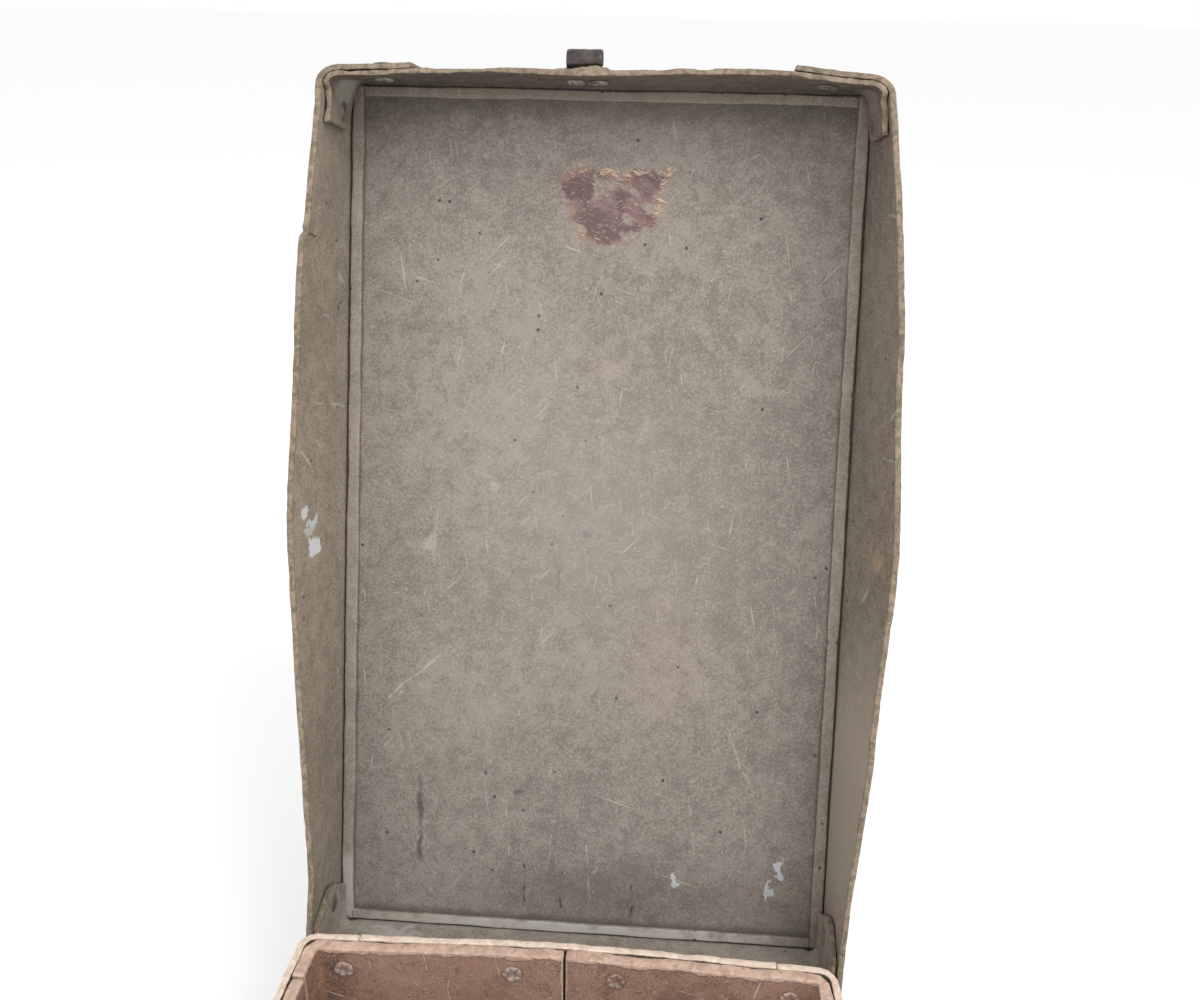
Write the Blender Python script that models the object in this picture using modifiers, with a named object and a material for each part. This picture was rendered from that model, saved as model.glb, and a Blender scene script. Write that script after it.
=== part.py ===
"""Riveted fibreboard lunch box with a hinged telescoping lid, standing open.

Metres, +Z up, X along the hinge line, front at -Y. The origin is the centre of the underside.
The lid is modelled closed, in the frame of its hinge axis, and its empty turns it open.
"""

import math

import bmesh
import bpy
from mathutils import Matrix, Vector

# ---- driving dimensions ------------------------------------------------------------------
GAP = 0.0003                # air between touching pieces

LID_WIDTH = 0.190           # between the long walls' inner faces, at the panel
LID_LENGTH = 0.322          # between the short walls' inner faces, at the panel
LID_DEPTH = 0.040           # from the panel's inner face to the rim
LID_BOARD = 0.0022          # one sheet of lid board
LID_BOW = 0.010             # how far each long wall has bowed out at its rim
LID_FRONT_LEAN = 0.0048     # how far the front wall's rim leans in
LID_CORNER_RADIUS = 0.0055  # inside the long walls' sheet
LID_WRAP = 0.030            # long wall's end, turned round the outside of a short wall
LID_FRONT_TAB = 0.018       # front wall's end, turned round the inside of a long wall
LID_HINGE_TAB = 0.023       # the same, on the hinge wall
TAB_RIVET_SHARE = 0.66      # tab rivet's place along the tab, from the short wall
TAB_RIVET_HEIGHT_SHARE = 0.52   # and its height, as a share of the lid's depth
WRAP_RIVET_SHARE = 0.62     # wrap rivet's place along the wrap, from the long wall
WRAP_RIVET_HEIGHT_SHARE = 0.30
LID_TAB_SETBACK = 0.0035    # tabs stop this far short of the rim
STRIP_WIDTH = 0.0040        # edge strips round the panel
STRIP_THICKNESS = 0.0018
STRIP_SEAM = 0.0006         # open seam between a strip and the wall beside it

SIDE_CLEARANCE = 0.0040     # lid long wall to body, each side
HINGE_CLEARANCE = 0.0030    # lid hinge wall to body back
FRONT_CLEARANCE = 0.0090    # lid front wall to body front, at the panel
BODY_HEIGHT = 0.095
BODY_BOARD = 0.0026         # outer wall board
BODY_BOW = 0.003            # how far each long side has bowed out at its rim
BODY_CORNER_RADIUS = 0.0060
BODY_WRAP = 0.020           # side wall's end, turned round the outside of an end wall
BASE_BOARD = 0.0030
LINER_BOARD = 0.0042        # thick inner boards
LINER_SETBACK = 0.0008      # liner rim below the outer rim
LINER_RETURN = 0.012        # end liners turn this far along the sides
LINER_SEAM = 0.0009         # open seam between butted liners
LINER_BEND = 0.0012         # radius inside a liner's turned corner
LINER_RIVET_X = 0.0175      # the middle pair, from the seam
LINER_RIVET_INSET = 0.0085  # the corner pair, from the inner corner
LINER_RIVET_DROPS = {"middle": 0.0055, "corner": 0.0085}  # below the rim
OVERLAP = 0.034             # how far the shut lid's rim comes down over the body

RIVET_RADIUS = 0.0013
RIVET_HEAD_RADIUS = 0.0034
RIVET_HEAD_HEIGHT = 0.0011
# (radius, height) along each end's outline, as shares: of the shank's radius on the clinch,
# of the head's on the dome, and of the head's height.
CLINCH_SHAPE = ((0.0, 0.45), (0.9, 0.45), (1.3, 1.0), (2.406, 0.7))
DOME_SHAPE = ((0.92, 0.45), (0.6, 0.9), (0.0, 1.0))
RIVET_HOLE_MARGIN = 0.002
RIVET_SIDES = 12

HINGE_SPACING = 0.088       # between the two hinges' middles
HINGE_WIDTH = 0.030
LEAF_HEIGHT = 0.020
LEAF_THICKNESS = 0.0012
KNUCKLE_RADIUS = 0.0031
PIN_RADIUS = 0.0013
HINGE_RIVET_SPACING = 0.018
HINGE_RIVET_SHARE = 0.60    # of the leaf's height
HINGE_RELIEF_MARGIN = 0.001
PACKING_MARGIN = 0.002      # the packing stands out past the leaf
PIN_EXCESS = 0.001          # at each end of the hinge
OPEN_ANGLE = math.radians(108)

LATCH_X = -0.006            # the latch sits a little left of the middle
KEEPER_PLATE_WIDTH = 0.020
KEEPER_ROLL_WIDTH = 0.012
KEEPER_PLATE_HEIGHT = 0.0160
KEEPER_RIVET_RISE = 0.0105  # keeper rivets above the roll's middle
KEEPER_ROLL_TURN = math.radians(300)
KEEPER_ROLL_STEPS = 14
KEEPER_PLATE_FOOT = 0.0045  # the full width starts this far above the roll's centre
KEEPER_NECK = 0.0020        # and the roll's width ends this far above it
KEEPER_SHEET = 0.0010
KEEPER_ROLL_RADIUS = 0.0032 # to the middle of the sheet
KEEPER_ROLL_LIFT = 0.0009   # roll's lowest mid-sheet line above the rim
KEEPER_RIVET_SPACING = 0.0078
CATCH_WIDTH = 0.022
CATCH_HEIGHT = 0.034
CATCH_RIVET_EDGE = 0.0013   # sheet left between a rivet head and the plate's end
CATCH_SHEET = 0.0012
CATCH_TOP_DROP = 0.006      # catch plate's top below the shut lid's rim
EAR_OUTER_SPAN = 0.0136     # across the outsides of the ears
EAR_RADIUS = 0.0030
BAIL_STANDOFF = 0.0104      # bail's pivot from the body's front face
BAIL_DROP = 0.016           # bail's pivot below the shut lid's rim
BAIL_WIRE_RADIUS = 0.0010
BAIL_SPAN = 0.0176          # between the middles of the bail's legs
BAIL_BEND = 0.0022          # radius of the wire's corners
BAIL_PLAY = 0.0026          # shut, from the keeper's roll to the middle of the bail's bar
BORE_CLEARANCE = 0.00035

# ---- worked-out places -------------------------------------------------------------------
BODY_WIDTH = LID_WIDTH - 2 * SIDE_CLEARANCE
BODY_LENGTH = LID_LENGTH - HINGE_CLEARANCE - FRONT_CLEARANCE
LID_BACK_OUTER = -(KNUCKLE_RADIUS + GAP)
LID_BACK_INNER = LID_BACK_OUTER - LID_BOARD
LID_FRONT_INNER = LID_BACK_INNER - LID_LENGTH
AXIS_Y = BODY_LENGTH / 2 + HINGE_CLEARANCE - LID_BACK_INNER
AXIS_Z = BODY_HEIGHT - OVERLAP
WALL_TOTAL = BODY_BOARD + GAP + LINER_BOARD
FRONT_SLOPE = LID_FRONT_LEAN / LID_DEPTH
ARC_STEPS = 5
LONGEST_RUN = 0.020         # between a bowed board's upright edges
LEAN_RUN = 1 / 8            # share of the length, at the front, over which the rim leans in


def clear_scene():
    for old in list(bpy.data.objects):
        bpy.data.objects.remove(old, do_unlink=True)


def new_collection(name):
    collection = bpy.data.collections.new(name)
    bpy.context.scene.collection.children.link(collection)
    return collection


def new_material(name, colour, roughness, metallic=0.0):
    material = bpy.data.materials.new(name)
    material.use_nodes = True
    shader = material.node_tree.nodes["Principled BSDF"]
    shader.inputs["Base Color"].default_value = (*colour, 1.0)
    shader.inputs["Roughness"].default_value = roughness
    shader.inputs["Metallic"].default_value = metallic
    material.diffuse_color = (*colour, 1.0)
    return material


clear_scene()
PARTS = new_collection("fibreboard_lunch_box")
CUTTERS = new_collection("cutters")
GREY_BOARD = ("grey_board", (0.135, 0.120, 0.098), 0.85)
RED_BOARD = ("red_brown_board", (0.200, 0.125, 0.100), 0.85)
DARK_STEEL = ("dark_steel", (0.090, 0.080, 0.082), 0.45, 1.0)


# ---- objects, cutters and joins ----------------------------------------------------------
def add_object(name, mesh, finish, parent=None, matrix=None):
    """A named part with its own material, placed under its parent."""
    obj = bpy.data.objects.new(name, mesh)
    PARTS.objects.link(obj)
    mesh.materials.clear()
    mesh.materials.append(new_material(name + "_" + finish[0], *finish[1:]))
    obj.parent = parent
    if matrix is not None:
        obj.matrix_basis = matrix
    return obj


def mesh_from(bm, name):
    mesh = bpy.data.meshes.new(name)
    bmesh.ops.recalc_face_normals(bm, faces=bm.faces)
    bm.to_mesh(mesh)
    bm.free()
    return mesh


def add_cylinder(bm, radius, depth, matrix, sides=16):
    bmesh.ops.create_cone(bm, cap_ends=True, segments=sides, radius1=radius, radius2=radius,
                          depth=depth, matrix=matrix)


def add_box(bm, low, high):
    size = Vector(high) - Vector(low)
    middle = (Vector(high) + Vector(low)) / 2
    bmesh.ops.create_cube(bm, size=1.0, matrix=Matrix.Translation(middle) @ Matrix.Diagonal((*size, 1.0)))


def along_x(centre):
    """A cylinder's matrix that lays it along X through a point."""
    return Matrix.Translation(centre) @ Matrix.Rotation(math.pi / 2, 4, "Y")


def helper(name, mesh, parent):
    """A shape that only cuts or joins others."""
    obj = bpy.data.objects.new(name, mesh)
    CUTTERS.objects.link(obj)
    obj.parent = parent
    obj.hide_render = True
    obj.display_type = "WIRE"
    return obj


def combine(obj, other, operation):
    modifier = obj.modifiers.new(operation.lower() + "_" + other.name, "BOOLEAN")
    modifier.operation = operation
    modifier.solver = "EXACT"
    modifier.object = other


# ---- bowed boards ------------------------------------------------------------------------
class Shape:
    """How a box's walls have bowed: the long walls out at mid-length, and the front rim in."""

    def __init__(self, back, front, fixed_z, rim_z, bow, front_lean):
        self.back, self.front = back, front
        self.fixed_z, self.rim_z = fixed_z, rim_z
        self.bow, self.front_lean = bow, front_lean

    def place(self, x, y, z):
        share = max(0.0, min(1.0, (z - self.fixed_z) / (self.rim_z - self.fixed_z)))
        along = max(0.0, min(1.0, (self.back - y) / (self.back - self.front)))
        side = max(-1.0, min(1.0, 3.0 * x / LID_WIDTH))
        swell = self.bow * math.sin(math.pi * along) * share
        lean = self.front_lean * share * max(0.0, 1.0 - (1.0 - along) / LEAN_RUN)
        return Vector((x + side * swell, y + lean, z))


LID_SHAPE = Shape(LID_BACK_INNER, LID_FRONT_INNER, LID_DEPTH, 0.0, LID_BOW, LID_FRONT_LEAN)
BODY_SHAPE = Shape(BODY_LENGTH / 2, -BODY_LENGTH / 2, 0.0, BODY_HEIGHT, BODY_BOW, 0.0)


def lid_wall_outward(point, run):
    """A lid wall's outward direction at a point; run is the wall's plan direction, outside on its right."""
    step = 0.0001
    here = LID_SHAPE.place(*point)
    along = LID_SHAPE.place(*(point + Vector(run) * step)) - here
    up = LID_SHAPE.place(*(point + Vector((0.0, 0.0, step)))) - here
    return along.cross(up).normalized()


def rounded_path(corners, radius):
    """A polyline through the corners, each inner one rounded by an arc of this radius."""
    points = [Vector(corners[0])]
    for before, corner, after in zip(corners, corners[1:], corners[2:]):
        corner = Vector(corner)
        towards = (Vector(before) - corner).normalized()
        away = (Vector(after) - corner).normalized()
        centre = corner + (towards + away) * radius
        for step in range(ARC_STEPS + 1):
            angle = math.pi / 2 * step / ARC_STEPS
            points.append(centre - away * radius * math.cos(angle) - towards * radius * math.sin(angle))
    points.append(Vector(corners[-1]))
    return points


def split_runs(points, longest):
    """The same path with its long straight runs cut into even steps."""
    finer = [points[0]]
    for start, end in zip(points, points[1:]):
        steps = max(1, math.ceil((end - start).length / longest))
        finer += [start.lerp(end, step / steps) for step in range(1, steps + 1)]
    return finer


def board(name, path, low, high, thickness, shape, finish, parent, rows=4):
    """An upright sheet along a plan path, on the path's outer side, bowed with its box.

    low and high are heights, or functions of the distance run along the path.
    """
    points = split_runs(path, LONGEST_RUN)
    runs = [0.0]
    for start, end in zip(points, points[1:]):
        runs.append(runs[-1] + (end - start).length)
    bm = bmesh.new()
    bmesh.ops.create_grid(bm, x_segments=len(points) - 1, y_segments=rows - 1, size=1.0)
    for vertex in bm.verts:
        column = round((vertex.co.x + 1) / 2 * (len(points) - 1))
        row = (vertex.co.y + 1) / 2
        bottom = low(runs[column]) if callable(low) else low
        top = high(runs[column]) if callable(high) else high
        vertex.co = shape.place(*points[column], bottom + (top - bottom) * row)
    mesh = bpy.data.meshes.new(name)
    bm.to_mesh(mesh)
    bm.free()
    obj = add_object(name, mesh, finish, parent)
    solid = obj.modifiers.new("sheet", "SOLIDIFY")
    solid.thickness = thickness
    solid.offset = 1.0
    solid.use_even_offset = True
    return obj


def plate(name, width, low_y, high_y, low_z, high_z, radius, finish, parent, centre_x=0.0):
    """A flat plate with rounded corners: a filled 2D outline with a thickness."""
    bm = bmesh.new()
    corners = [(-width / 2, low_y), (width / 2, low_y), (width / 2, high_y), (-width / 2, high_y)]
    ring = []
    for (x, y), start in zip(corners, (180, 270, 0, 90)):
        inset = Vector((math.copysign(radius, -x), radius if y == low_y else -radius))
        for step in range(ARC_STEPS + 1):
            angle = math.radians(start + 90 * step / ARC_STEPS)
            ring.append(bm.verts.new((x + inset.x + radius * math.cos(angle) + centre_x,
                                      y + inset.y + radius * math.sin(angle), low_z)))
    face = bm.faces.new(ring)
    raised = bmesh.ops.extrude_face_region(bm, geom=[face])["geom"]
    for item in raised:
        if isinstance(item, bmesh.types.BMVert):
            item.co.z = high_z
    return add_object(name, mesh_from(bm, name), finish, parent)


# ---- rivets ------------------------------------------------------------------------------
def rivet(name, inner, outer, parent, through):
    """A rivet between two points on the joint's inner and outer faces, and its holes.

    The inner end is a clinched ring with a dimple, and the outer end a low dome.
    """
    inner, outer = Vector(inner), Vector(outer)
    axis = (outer - inner).normalized()
    grip = (outer - inner).length + 2 * GAP
    shank, head, height = RIVET_RADIUS, RIVET_HEAD_RADIUS, RIVET_HEAD_HEIGHT
    clinch = [(radius * shank, -rise * height) for radius, rise in CLINCH_SHAPE]
    dome = [(radius * head, grip + rise * height) for radius, rise in DOME_SHAPE]
    profile = clinch + [(head, 0.0), (shank, 0.0), (shank, grip), (head, grip)] + dome
    bm = bmesh.new()
    points = [bm.verts.new((radius, 0.0, z)) for radius, z in profile]
    edges = [bm.edges.new(pair) for pair in zip(points, points[1:])]
    bmesh.ops.spin(bm, geom=points + edges, cent=(0, 0, 0), axis=(0, 0, 1),
                   angle=2 * math.pi, steps=RIVET_SIDES, use_merge=True)
    bmesh.ops.remove_doubles(bm, verts=bm.verts, dist=1e-6)
    turn = axis.to_track_quat("Z", "Y").to_matrix().to_4x4()
    matrix = Matrix.Translation(inner - axis * GAP) @ turn
    add_object(name, mesh_from(bm, name), DARK_STEEL, parent, matrix)
    hole = bmesh.new()
    add_cylinder(hole, shank + GAP, grip + 2 * RIVET_HOLE_MARGIN, Matrix.Translation((0, 0, grip / 2)),
                 RIVET_SIDES)
    cutter = helper(name + "_hole", mesh_from(hole, name + "_hole"), parent)
    cutter.matrix_basis = matrix
    for obj in through:
        combine(obj, cutter, "DIFFERENCE")


# ---- lid ---------------------------------------------------------------------------------
def tab_rim(total, tab):
    """A short wall's low edge: full depth across the wall, set back along its tabs."""
    def low(run):
        inside = min(run, total - run)
        return LID_TAB_SETBACK if inside < tab - LID_CORNER_RADIUS else 0.0
    return low


def path_length(path):
    return sum((b - a).length for a, b in zip(path, path[1:]))


def lid_long_wall(side, parent):
    inner_x = side * LID_WIDTH / 2
    front = LID_FRONT_INNER - LID_BOARD - GAP
    back = LID_BACK_OUTER + GAP
    end_x = side * (LID_WIDTH / 2 - LID_WRAP)
    path = rounded_path([(end_x, back), (inner_x, back), (inner_x, front), (end_x, front)],
                        LID_CORNER_RADIUS)
    if side > 0:
        path.reverse()
    name = "lid_wall_right" if side > 0 else "lid_wall_left"
    return board(name, path, 0.0, LID_DEPTH + LID_BOARD, LID_BOARD, LID_SHAPE, GREY_BOARD, parent)


def lid_short_wall(name, inner_y, outward, tab, parent):
    inner_x = LID_WIDTH / 2 - GAP - LID_BOARD
    end_y = inner_y - outward * tab
    path = rounded_path([(-inner_x, end_y), (-inner_x, inner_y), (inner_x, inner_y), (inner_x, end_y)],
                        LID_CORNER_RADIUS - GAP - LID_BOARD)
    low = tab_rim(path_length(path), tab)
    if outward > 0:
        path.reverse()
    return board(name, path, low, LID_DEPTH - STRIP_THICKNESS - 2 * GAP, LID_BOARD,
                 LID_SHAPE, GREY_BOARD, parent)


def lid_strip(name, low_x, high_x, low_y, high_y, parent):
    bm = bmesh.new()
    top = LID_DEPTH - GAP
    add_box(bm, (low_x, low_y, top - STRIP_THICKNESS), (high_x, high_y, top))
    obj = add_object(name, mesh_from(bm, name), GREY_BOARD, parent)
    soften = obj.modifiers.new("worn_edges", "BEVEL")
    soften.width = STRIP_THICKNESS / 4
    soften.segments = 1


def lid_strips(parent):
    """Four flat strips round the panel, the end ones between the side ones."""
    half = LID_WIDTH / 2 - STRIP_SEAM
    back, front = LID_BACK_INNER - STRIP_SEAM, LID_FRONT_INNER + STRIP_SEAM
    inner = half - STRIP_WIDTH
    lid_strip("lid_strip_left", -half, -inner, front, back, parent)
    lid_strip("lid_strip_right", inner, half, front, back, parent)
    lid_strip("lid_strip_hinge", -inner + GAP, inner - GAP, back - STRIP_WIDTH, back, parent)
    lid_strip("lid_strip_front", -inner + GAP, inner - GAP, front, front + STRIP_WIDTH, parent)


def lid_keeper(wall, parent):
    """The lid's half of the latch: a riveted plate whose lower end is rolled outwards."""
    face = LID_FRONT_INNER - LID_BOARD - GAP
    roll_z = KEEPER_ROLL_RADIUS + KEEPER_ROLL_LIFT
    top = roll_z + KEEPER_PLATE_HEIGHT
    profile = [(top, 0.0, KEEPER_PLATE_WIDTH), (roll_z + KEEPER_PLATE_FOOT, 0.0, KEEPER_PLATE_WIDTH),
               (roll_z + KEEPER_NECK, 0.0, KEEPER_ROLL_WIDTH), (roll_z, 0.0, KEEPER_ROLL_WIDTH)]
    for step in range(1, KEEPER_ROLL_STEPS + 1):
        angle = KEEPER_ROLL_TURN * step / KEEPER_ROLL_STEPS
        profile.append((roll_z - KEEPER_ROLL_RADIUS * math.sin(angle),
                        -KEEPER_ROLL_RADIUS * (1 - math.cos(angle)), KEEPER_ROLL_WIDTH))
    bm = bmesh.new()
    bmesh.ops.create_grid(bm, x_segments=1, y_segments=len(profile) - 1, size=1.0)
    for vertex in bm.verts:
        z, y, width = profile[round((vertex.co.y + 1) / 2 * (len(profile) - 1))]
        lean = FRONT_SLOPE * (LID_DEPTH - z)
        vertex.co = (LATCH_X + vertex.co.x * width / 2, face + lean + y - KEEPER_SHEET / 2, z)
    mesh = bpy.data.meshes.new("keeper")
    bm.to_mesh(mesh)
    bm.free()
    keeper = add_object("keeper", mesh, DARK_STEEL, parent)
    solid = keeper.modifiers.new("sheet", "SOLIDIFY")
    solid.thickness = KEEPER_SHEET
    solid.offset = 0.0
    solid.use_even_offset = True
    rivet_z = roll_z + KEEPER_RIVET_RISE
    for side, place in ((-1, "left"), (1, "right")):
        x = LATCH_X + side * KEEPER_RIVET_SPACING / 2
        seat = Vector((x, LID_FRONT_INNER, rivet_z))
        inner = LID_SHAPE.place(*seat)
        outer = inner + lid_wall_outward(seat, (1, 0, 0)) * (LID_BOARD + GAP + KEEPER_SHEET)
        rivet(f"keeper_rivet_{place}", inner, outer, parent, (wall, keeper))


def lid_corner_rivets(walls, parent):
    """One rivet through each tab and long wall, and one through each wrap and short wall."""
    tab_inner = LID_WIDTH / 2 - GAP - LID_BOARD
    for end, inner_y, towards, tab in (("hinge", LID_BACK_INNER, -1, LID_HINGE_TAB),
                                       ("front", LID_FRONT_INNER, 1, LID_FRONT_TAB)):
        for side, place in ((-1, "left"), (1, "right")):
            seat = Vector((side * tab_inner, inner_y + towards * tab * TAB_RIVET_SHARE,
                           LID_DEPTH * TAB_RIVET_HEIGHT_SHARE))
            inner = LID_SHAPE.place(*seat)
            outer = inner + lid_wall_outward(seat, (0, side, 0)) * (2 * LID_BOARD + GAP)
            rivet(f"lid_corner_rivet_{end}_{place}", inner, outer, parent, (walls[end], walls[place]))
            seat = Vector((side * (LID_WIDTH / 2 - LID_WRAP * WRAP_RIVET_SHARE), inner_y,
                           LID_DEPTH * WRAP_RIVET_HEIGHT_SHARE))
            inner = LID_SHAPE.place(*seat)
            outer = inner + lid_wall_outward(seat, (towards, 0, 0)) * (2 * LID_BOARD + GAP)
            rivet(f"lid_wrap_rivet_{end}_{place}", inner, outer, parent, (walls[end], walls[place]))


def lid_assembly(parent):
    walls = {
        "left": lid_long_wall(-1, parent),
        "right": lid_long_wall(1, parent),
        "front": lid_short_wall("lid_wall_front", LID_FRONT_INNER, -1, LID_FRONT_TAB, parent),
        "hinge": lid_short_wall("lid_wall_hinge", LID_BACK_INNER, 1, LID_HINGE_TAB, parent),
    }
    plate("lid_panel", LID_WIDTH - 2 * GAP, LID_FRONT_INNER - LID_BOARD, LID_BACK_OUTER,
          LID_DEPTH, LID_DEPTH + LID_BOARD, LID_CORNER_RADIUS - GAP, GREY_BOARD, parent)
    lid_strips(parent)
    lid_corner_rivets(walls, parent)
    lid_keeper(walls["front"], parent)
    return walls


# ---- body --------------------------------------------------------------------------------
def body_side_wall(side):
    """A long side board whose ends turn round the outside of the end walls."""
    inner_x = side * (BODY_WIDTH / 2 - BODY_BOARD)
    y = BODY_LENGTH / 2 - BODY_BOARD
    end_x = side * (BODY_WIDTH / 2 - BODY_WRAP)
    path = rounded_path([(end_x, y), (inner_x, y), (inner_x, -y), (end_x, -y)],
                        BODY_CORNER_RADIUS - BODY_BOARD)
    if side > 0:
        path.reverse()
    name = "body_side_right" if side > 0 else "body_side_left"
    return board(name, path, BASE_BOARD + GAP, BODY_HEIGHT, BODY_BOARD, BODY_SHAPE, GREY_BOARD, None)


def body_end_wall(name, outward):
    """A flat end board between the side boards' turned ends."""
    bm = bmesh.new()
    half = BODY_WIDTH / 2 - BODY_WRAP - GAP
    outer = outward * BODY_LENGTH / 2
    inner = outer - outward * BODY_BOARD
    add_box(bm, (-half, min(outer, inner), BASE_BOARD + GAP), (half, max(outer, inner), BODY_HEIGHT))
    return add_object(name, mesh_from(bm, name), GREY_BOARD)


def liner(name, path, reverse):
    if reverse:
        path.reverse()
    return board(name, path, BASE_BOARD + GAP, BODY_HEIGHT - LINER_SETBACK, LINER_BOARD,
                 BODY_SHAPE, RED_BOARD, None)


def body_liners():
    """Thick inner boards: two butted halves at the back, one at the front, one each side."""
    inner_x = BODY_WIDTH / 2 - WALL_TOTAL
    inner_y = BODY_LENGTH / 2 - WALL_TOTAL
    turn_y = inner_y - LINER_RETURN
    pieces = {}
    for side, place in ((-1, "left"), (1, "right")):
        path = rounded_path([(side * LINER_SEAM / 2, inner_y), (side * inner_x, inner_y),
                             (side * inner_x, turn_y)], LINER_BEND)
        pieces["back_" + place] = liner("liner_back_" + place, path, side > 0)
        ends = [Vector((side * inner_x, turn_y - LINER_SEAM)),
                Vector((side * inner_x, -turn_y + LINER_SEAM))]
        pieces[place] = liner("liner_" + place, ends, side > 0)
    path = rounded_path([(-inner_x, -turn_y), (-inner_x, -inner_y), (inner_x, -inner_y),
                         (inner_x, -turn_y)], LINER_BEND)
    pieces["front"] = liner("liner_front", path, False)
    return pieces


def liner_rivets(walls, pieces):
    """Rivets that hold the end liners to the end walls, near the rim."""
    inner_y = BODY_LENGTH / 2 - WALL_TOTAL
    far = BODY_WIDTH / 2 - WALL_TOTAL - LINER_RIVET_INSET
    for side, place in ((-1, "left"), (1, "right")):
        for x, where in ((LINER_RIVET_X, "middle"), (far, "corner")):
            z = BODY_HEIGHT - LINER_RIVET_DROPS[where]
            outside = walls["back"] if where == "middle" else walls[place]
            rivet(f"liner_rivet_{where}_{place}", (side * x, inner_y, z),
                  (side * x, BODY_LENGTH / 2, z), None, (pieces["back_" + place], outside))


def body_assembly():
    plate("base_board", BODY_WIDTH, -BODY_LENGTH / 2, BODY_LENGTH / 2, 0.0, BASE_BOARD,
          BODY_CORNER_RADIUS, GREY_BOARD, None)
    walls = {
        "left": body_side_wall(-1),
        "right": body_side_wall(1),
        "front": body_end_wall("body_wall_front", -1),
        "back": body_end_wall("body_wall_back", 1),
    }
    pieces = body_liners()
    liner_rivets(walls, pieces)
    return walls, pieces


# ---- hinges ------------------------------------------------------------------------------
def hinge_leaf(name, x, upward, knuckles, parent, origin):
    """A leaf on one side of the axis, with its rolled knuckles joined to it and bored.

    upward is 1 for the lid's leaf (shut) and -1 for the body's.
    """
    bm = bmesh.new()
    half = HINGE_WIDTH / 2
    near = KNUCKLE_RADIUS * 0.2
    low, high = sorted((upward * near, upward * LEAF_HEIGHT))
    add_box(bm, (x - half, -KNUCKLE_RADIUS, low), (x + half, -KNUCKLE_RADIUS + LEAF_THICKNESS, high))
    leaf = add_object(name, mesh_from(bm, name), DARK_STEEL, parent, Matrix.Translation(origin))
    for start, end in knuckles:
        roll = bmesh.new()
        add_cylinder(roll, KNUCKLE_RADIUS, end - start, along_x((x + (start + end) / 2, 0, 0)))
        joined = helper(f"{name}_roll_{start:.4f}", mesh_from(roll, name), parent)
        joined.matrix_basis = Matrix.Translation(origin)
        combine(leaf, joined, "UNION")
    for start, end in relief_spans(half, knuckles):
        cut = bmesh.new()
        add_cylinder(cut, KNUCKLE_RADIUS + 2 * GAP, end - start, along_x((x + (start + end) / 2, 0, 0)))
        cutter = helper(f"{name}_relief_{start:.4f}", mesh_from(cut, name), parent)
        cutter.matrix_basis = Matrix.Translation(origin)
        combine(leaf, cutter, "DIFFERENCE")
    bore = bmesh.new()
    add_cylinder(bore, PIN_RADIUS + GAP, 2 * HINGE_WIDTH, along_x((x, 0, 0)))
    cutter = helper(name + "_bore", mesh_from(bore, name), parent)
    cutter.matrix_basis = Matrix.Translation(origin)
    combine(leaf, cutter, "DIFFERENCE")
    return leaf


def relief_spans(half, knuckles):
    """The stretches of the axis where the other leaf's knuckles turn."""
    spans, at = [], -half - HINGE_RELIEF_MARGIN
    for start, end in knuckles:
        if start > at:
            spans.append((at, start))
        at = end
    if at < half:
        spans.append((at, half + HINGE_RELIEF_MARGIN))
    return spans


def packing_piece(name, x):
    """Board that packs a body leaf out to the lid wall's outer face."""
    bm = bmesh.new()
    half = HINGE_WIDTH / 2 + PACKING_MARGIN
    low_y = BODY_LENGTH / 2 + GAP
    high_y = AXIS_Y - KNUCKLE_RADIUS - GAP
    top = AXIS_Z - 2 * GAP
    add_box(bm, (x - half, low_y, top - LEAF_HEIGHT - PACKING_MARGIN), (x + half, high_y, top))
    return add_object(name, mesh_from(bm, name), GREY_BOARD)


def hinges(lid_walls, body_walls, body_pieces, lid_parent):
    """Two butt hinges: the lid leaf has the outer knuckles, the body leaf the middle one."""
    third = HINGE_WIDTH / 6
    outer = [(-HINGE_WIDTH / 2, -third - GAP), (third + GAP, HINGE_WIDTH / 2)]
    middle = [(-third, third)]
    rivet_z = LEAF_HEIGHT * HINGE_RIVET_SHARE
    for side, place in ((-1, "left"), (1, "right")):
        x = side * HINGE_SPACING / 2
        lid_leaf = hinge_leaf("hinge_leaf_lid_" + place, x, 1, outer, lid_parent, (0, 0, 0))
        body_leaf = hinge_leaf("hinge_leaf_body_" + place, x, -1, middle, None, (0, AXIS_Y, AXIS_Z))
        packing = packing_piece("hinge_packing_" + place, x)
        pin = bmesh.new()
        add_cylinder(pin, PIN_RADIUS, HINGE_WIDTH + 2 * PIN_EXCESS, along_x((x, AXIS_Y, AXIS_Z)), RIVET_SIDES)
        add_object("hinge_pin_" + place, mesh_from(pin, "pin"), DARK_STEEL)
        leaf_face = -KNUCKLE_RADIUS + LEAF_THICKNESS
        for way, mark in ((-1, "a"), (1, "b")):
            rivet_x = x + way * HINGE_RIVET_SPACING / 2
            rivet(f"hinge_rivet_lid_{place}_{mark}", (rivet_x, LID_BACK_INNER, rivet_z),
                  (rivet_x, leaf_face, rivet_z), lid_parent, (lid_walls["hinge"], lid_leaf))
            rivet(f"hinge_rivet_body_{place}_{mark}",
                  (rivet_x, BODY_LENGTH / 2 - WALL_TOTAL, AXIS_Z - rivet_z),
                  (rivet_x, AXIS_Y + leaf_face, AXIS_Z - rivet_z), None,
                  (body_pieces["back_" + place], body_walls["back"], packing, body_leaf))


# ---- latch on the body -------------------------------------------------------------------
BAIL_Y = -BODY_LENGTH / 2 - BAIL_STANDOFF
BAIL_Z = AXIS_Z - BAIL_DROP
BAIL_REACH = BAIL_DROP + KEEPER_ROLL_LIFT + 2 * KEEPER_ROLL_RADIUS + BAIL_PLAY


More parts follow.
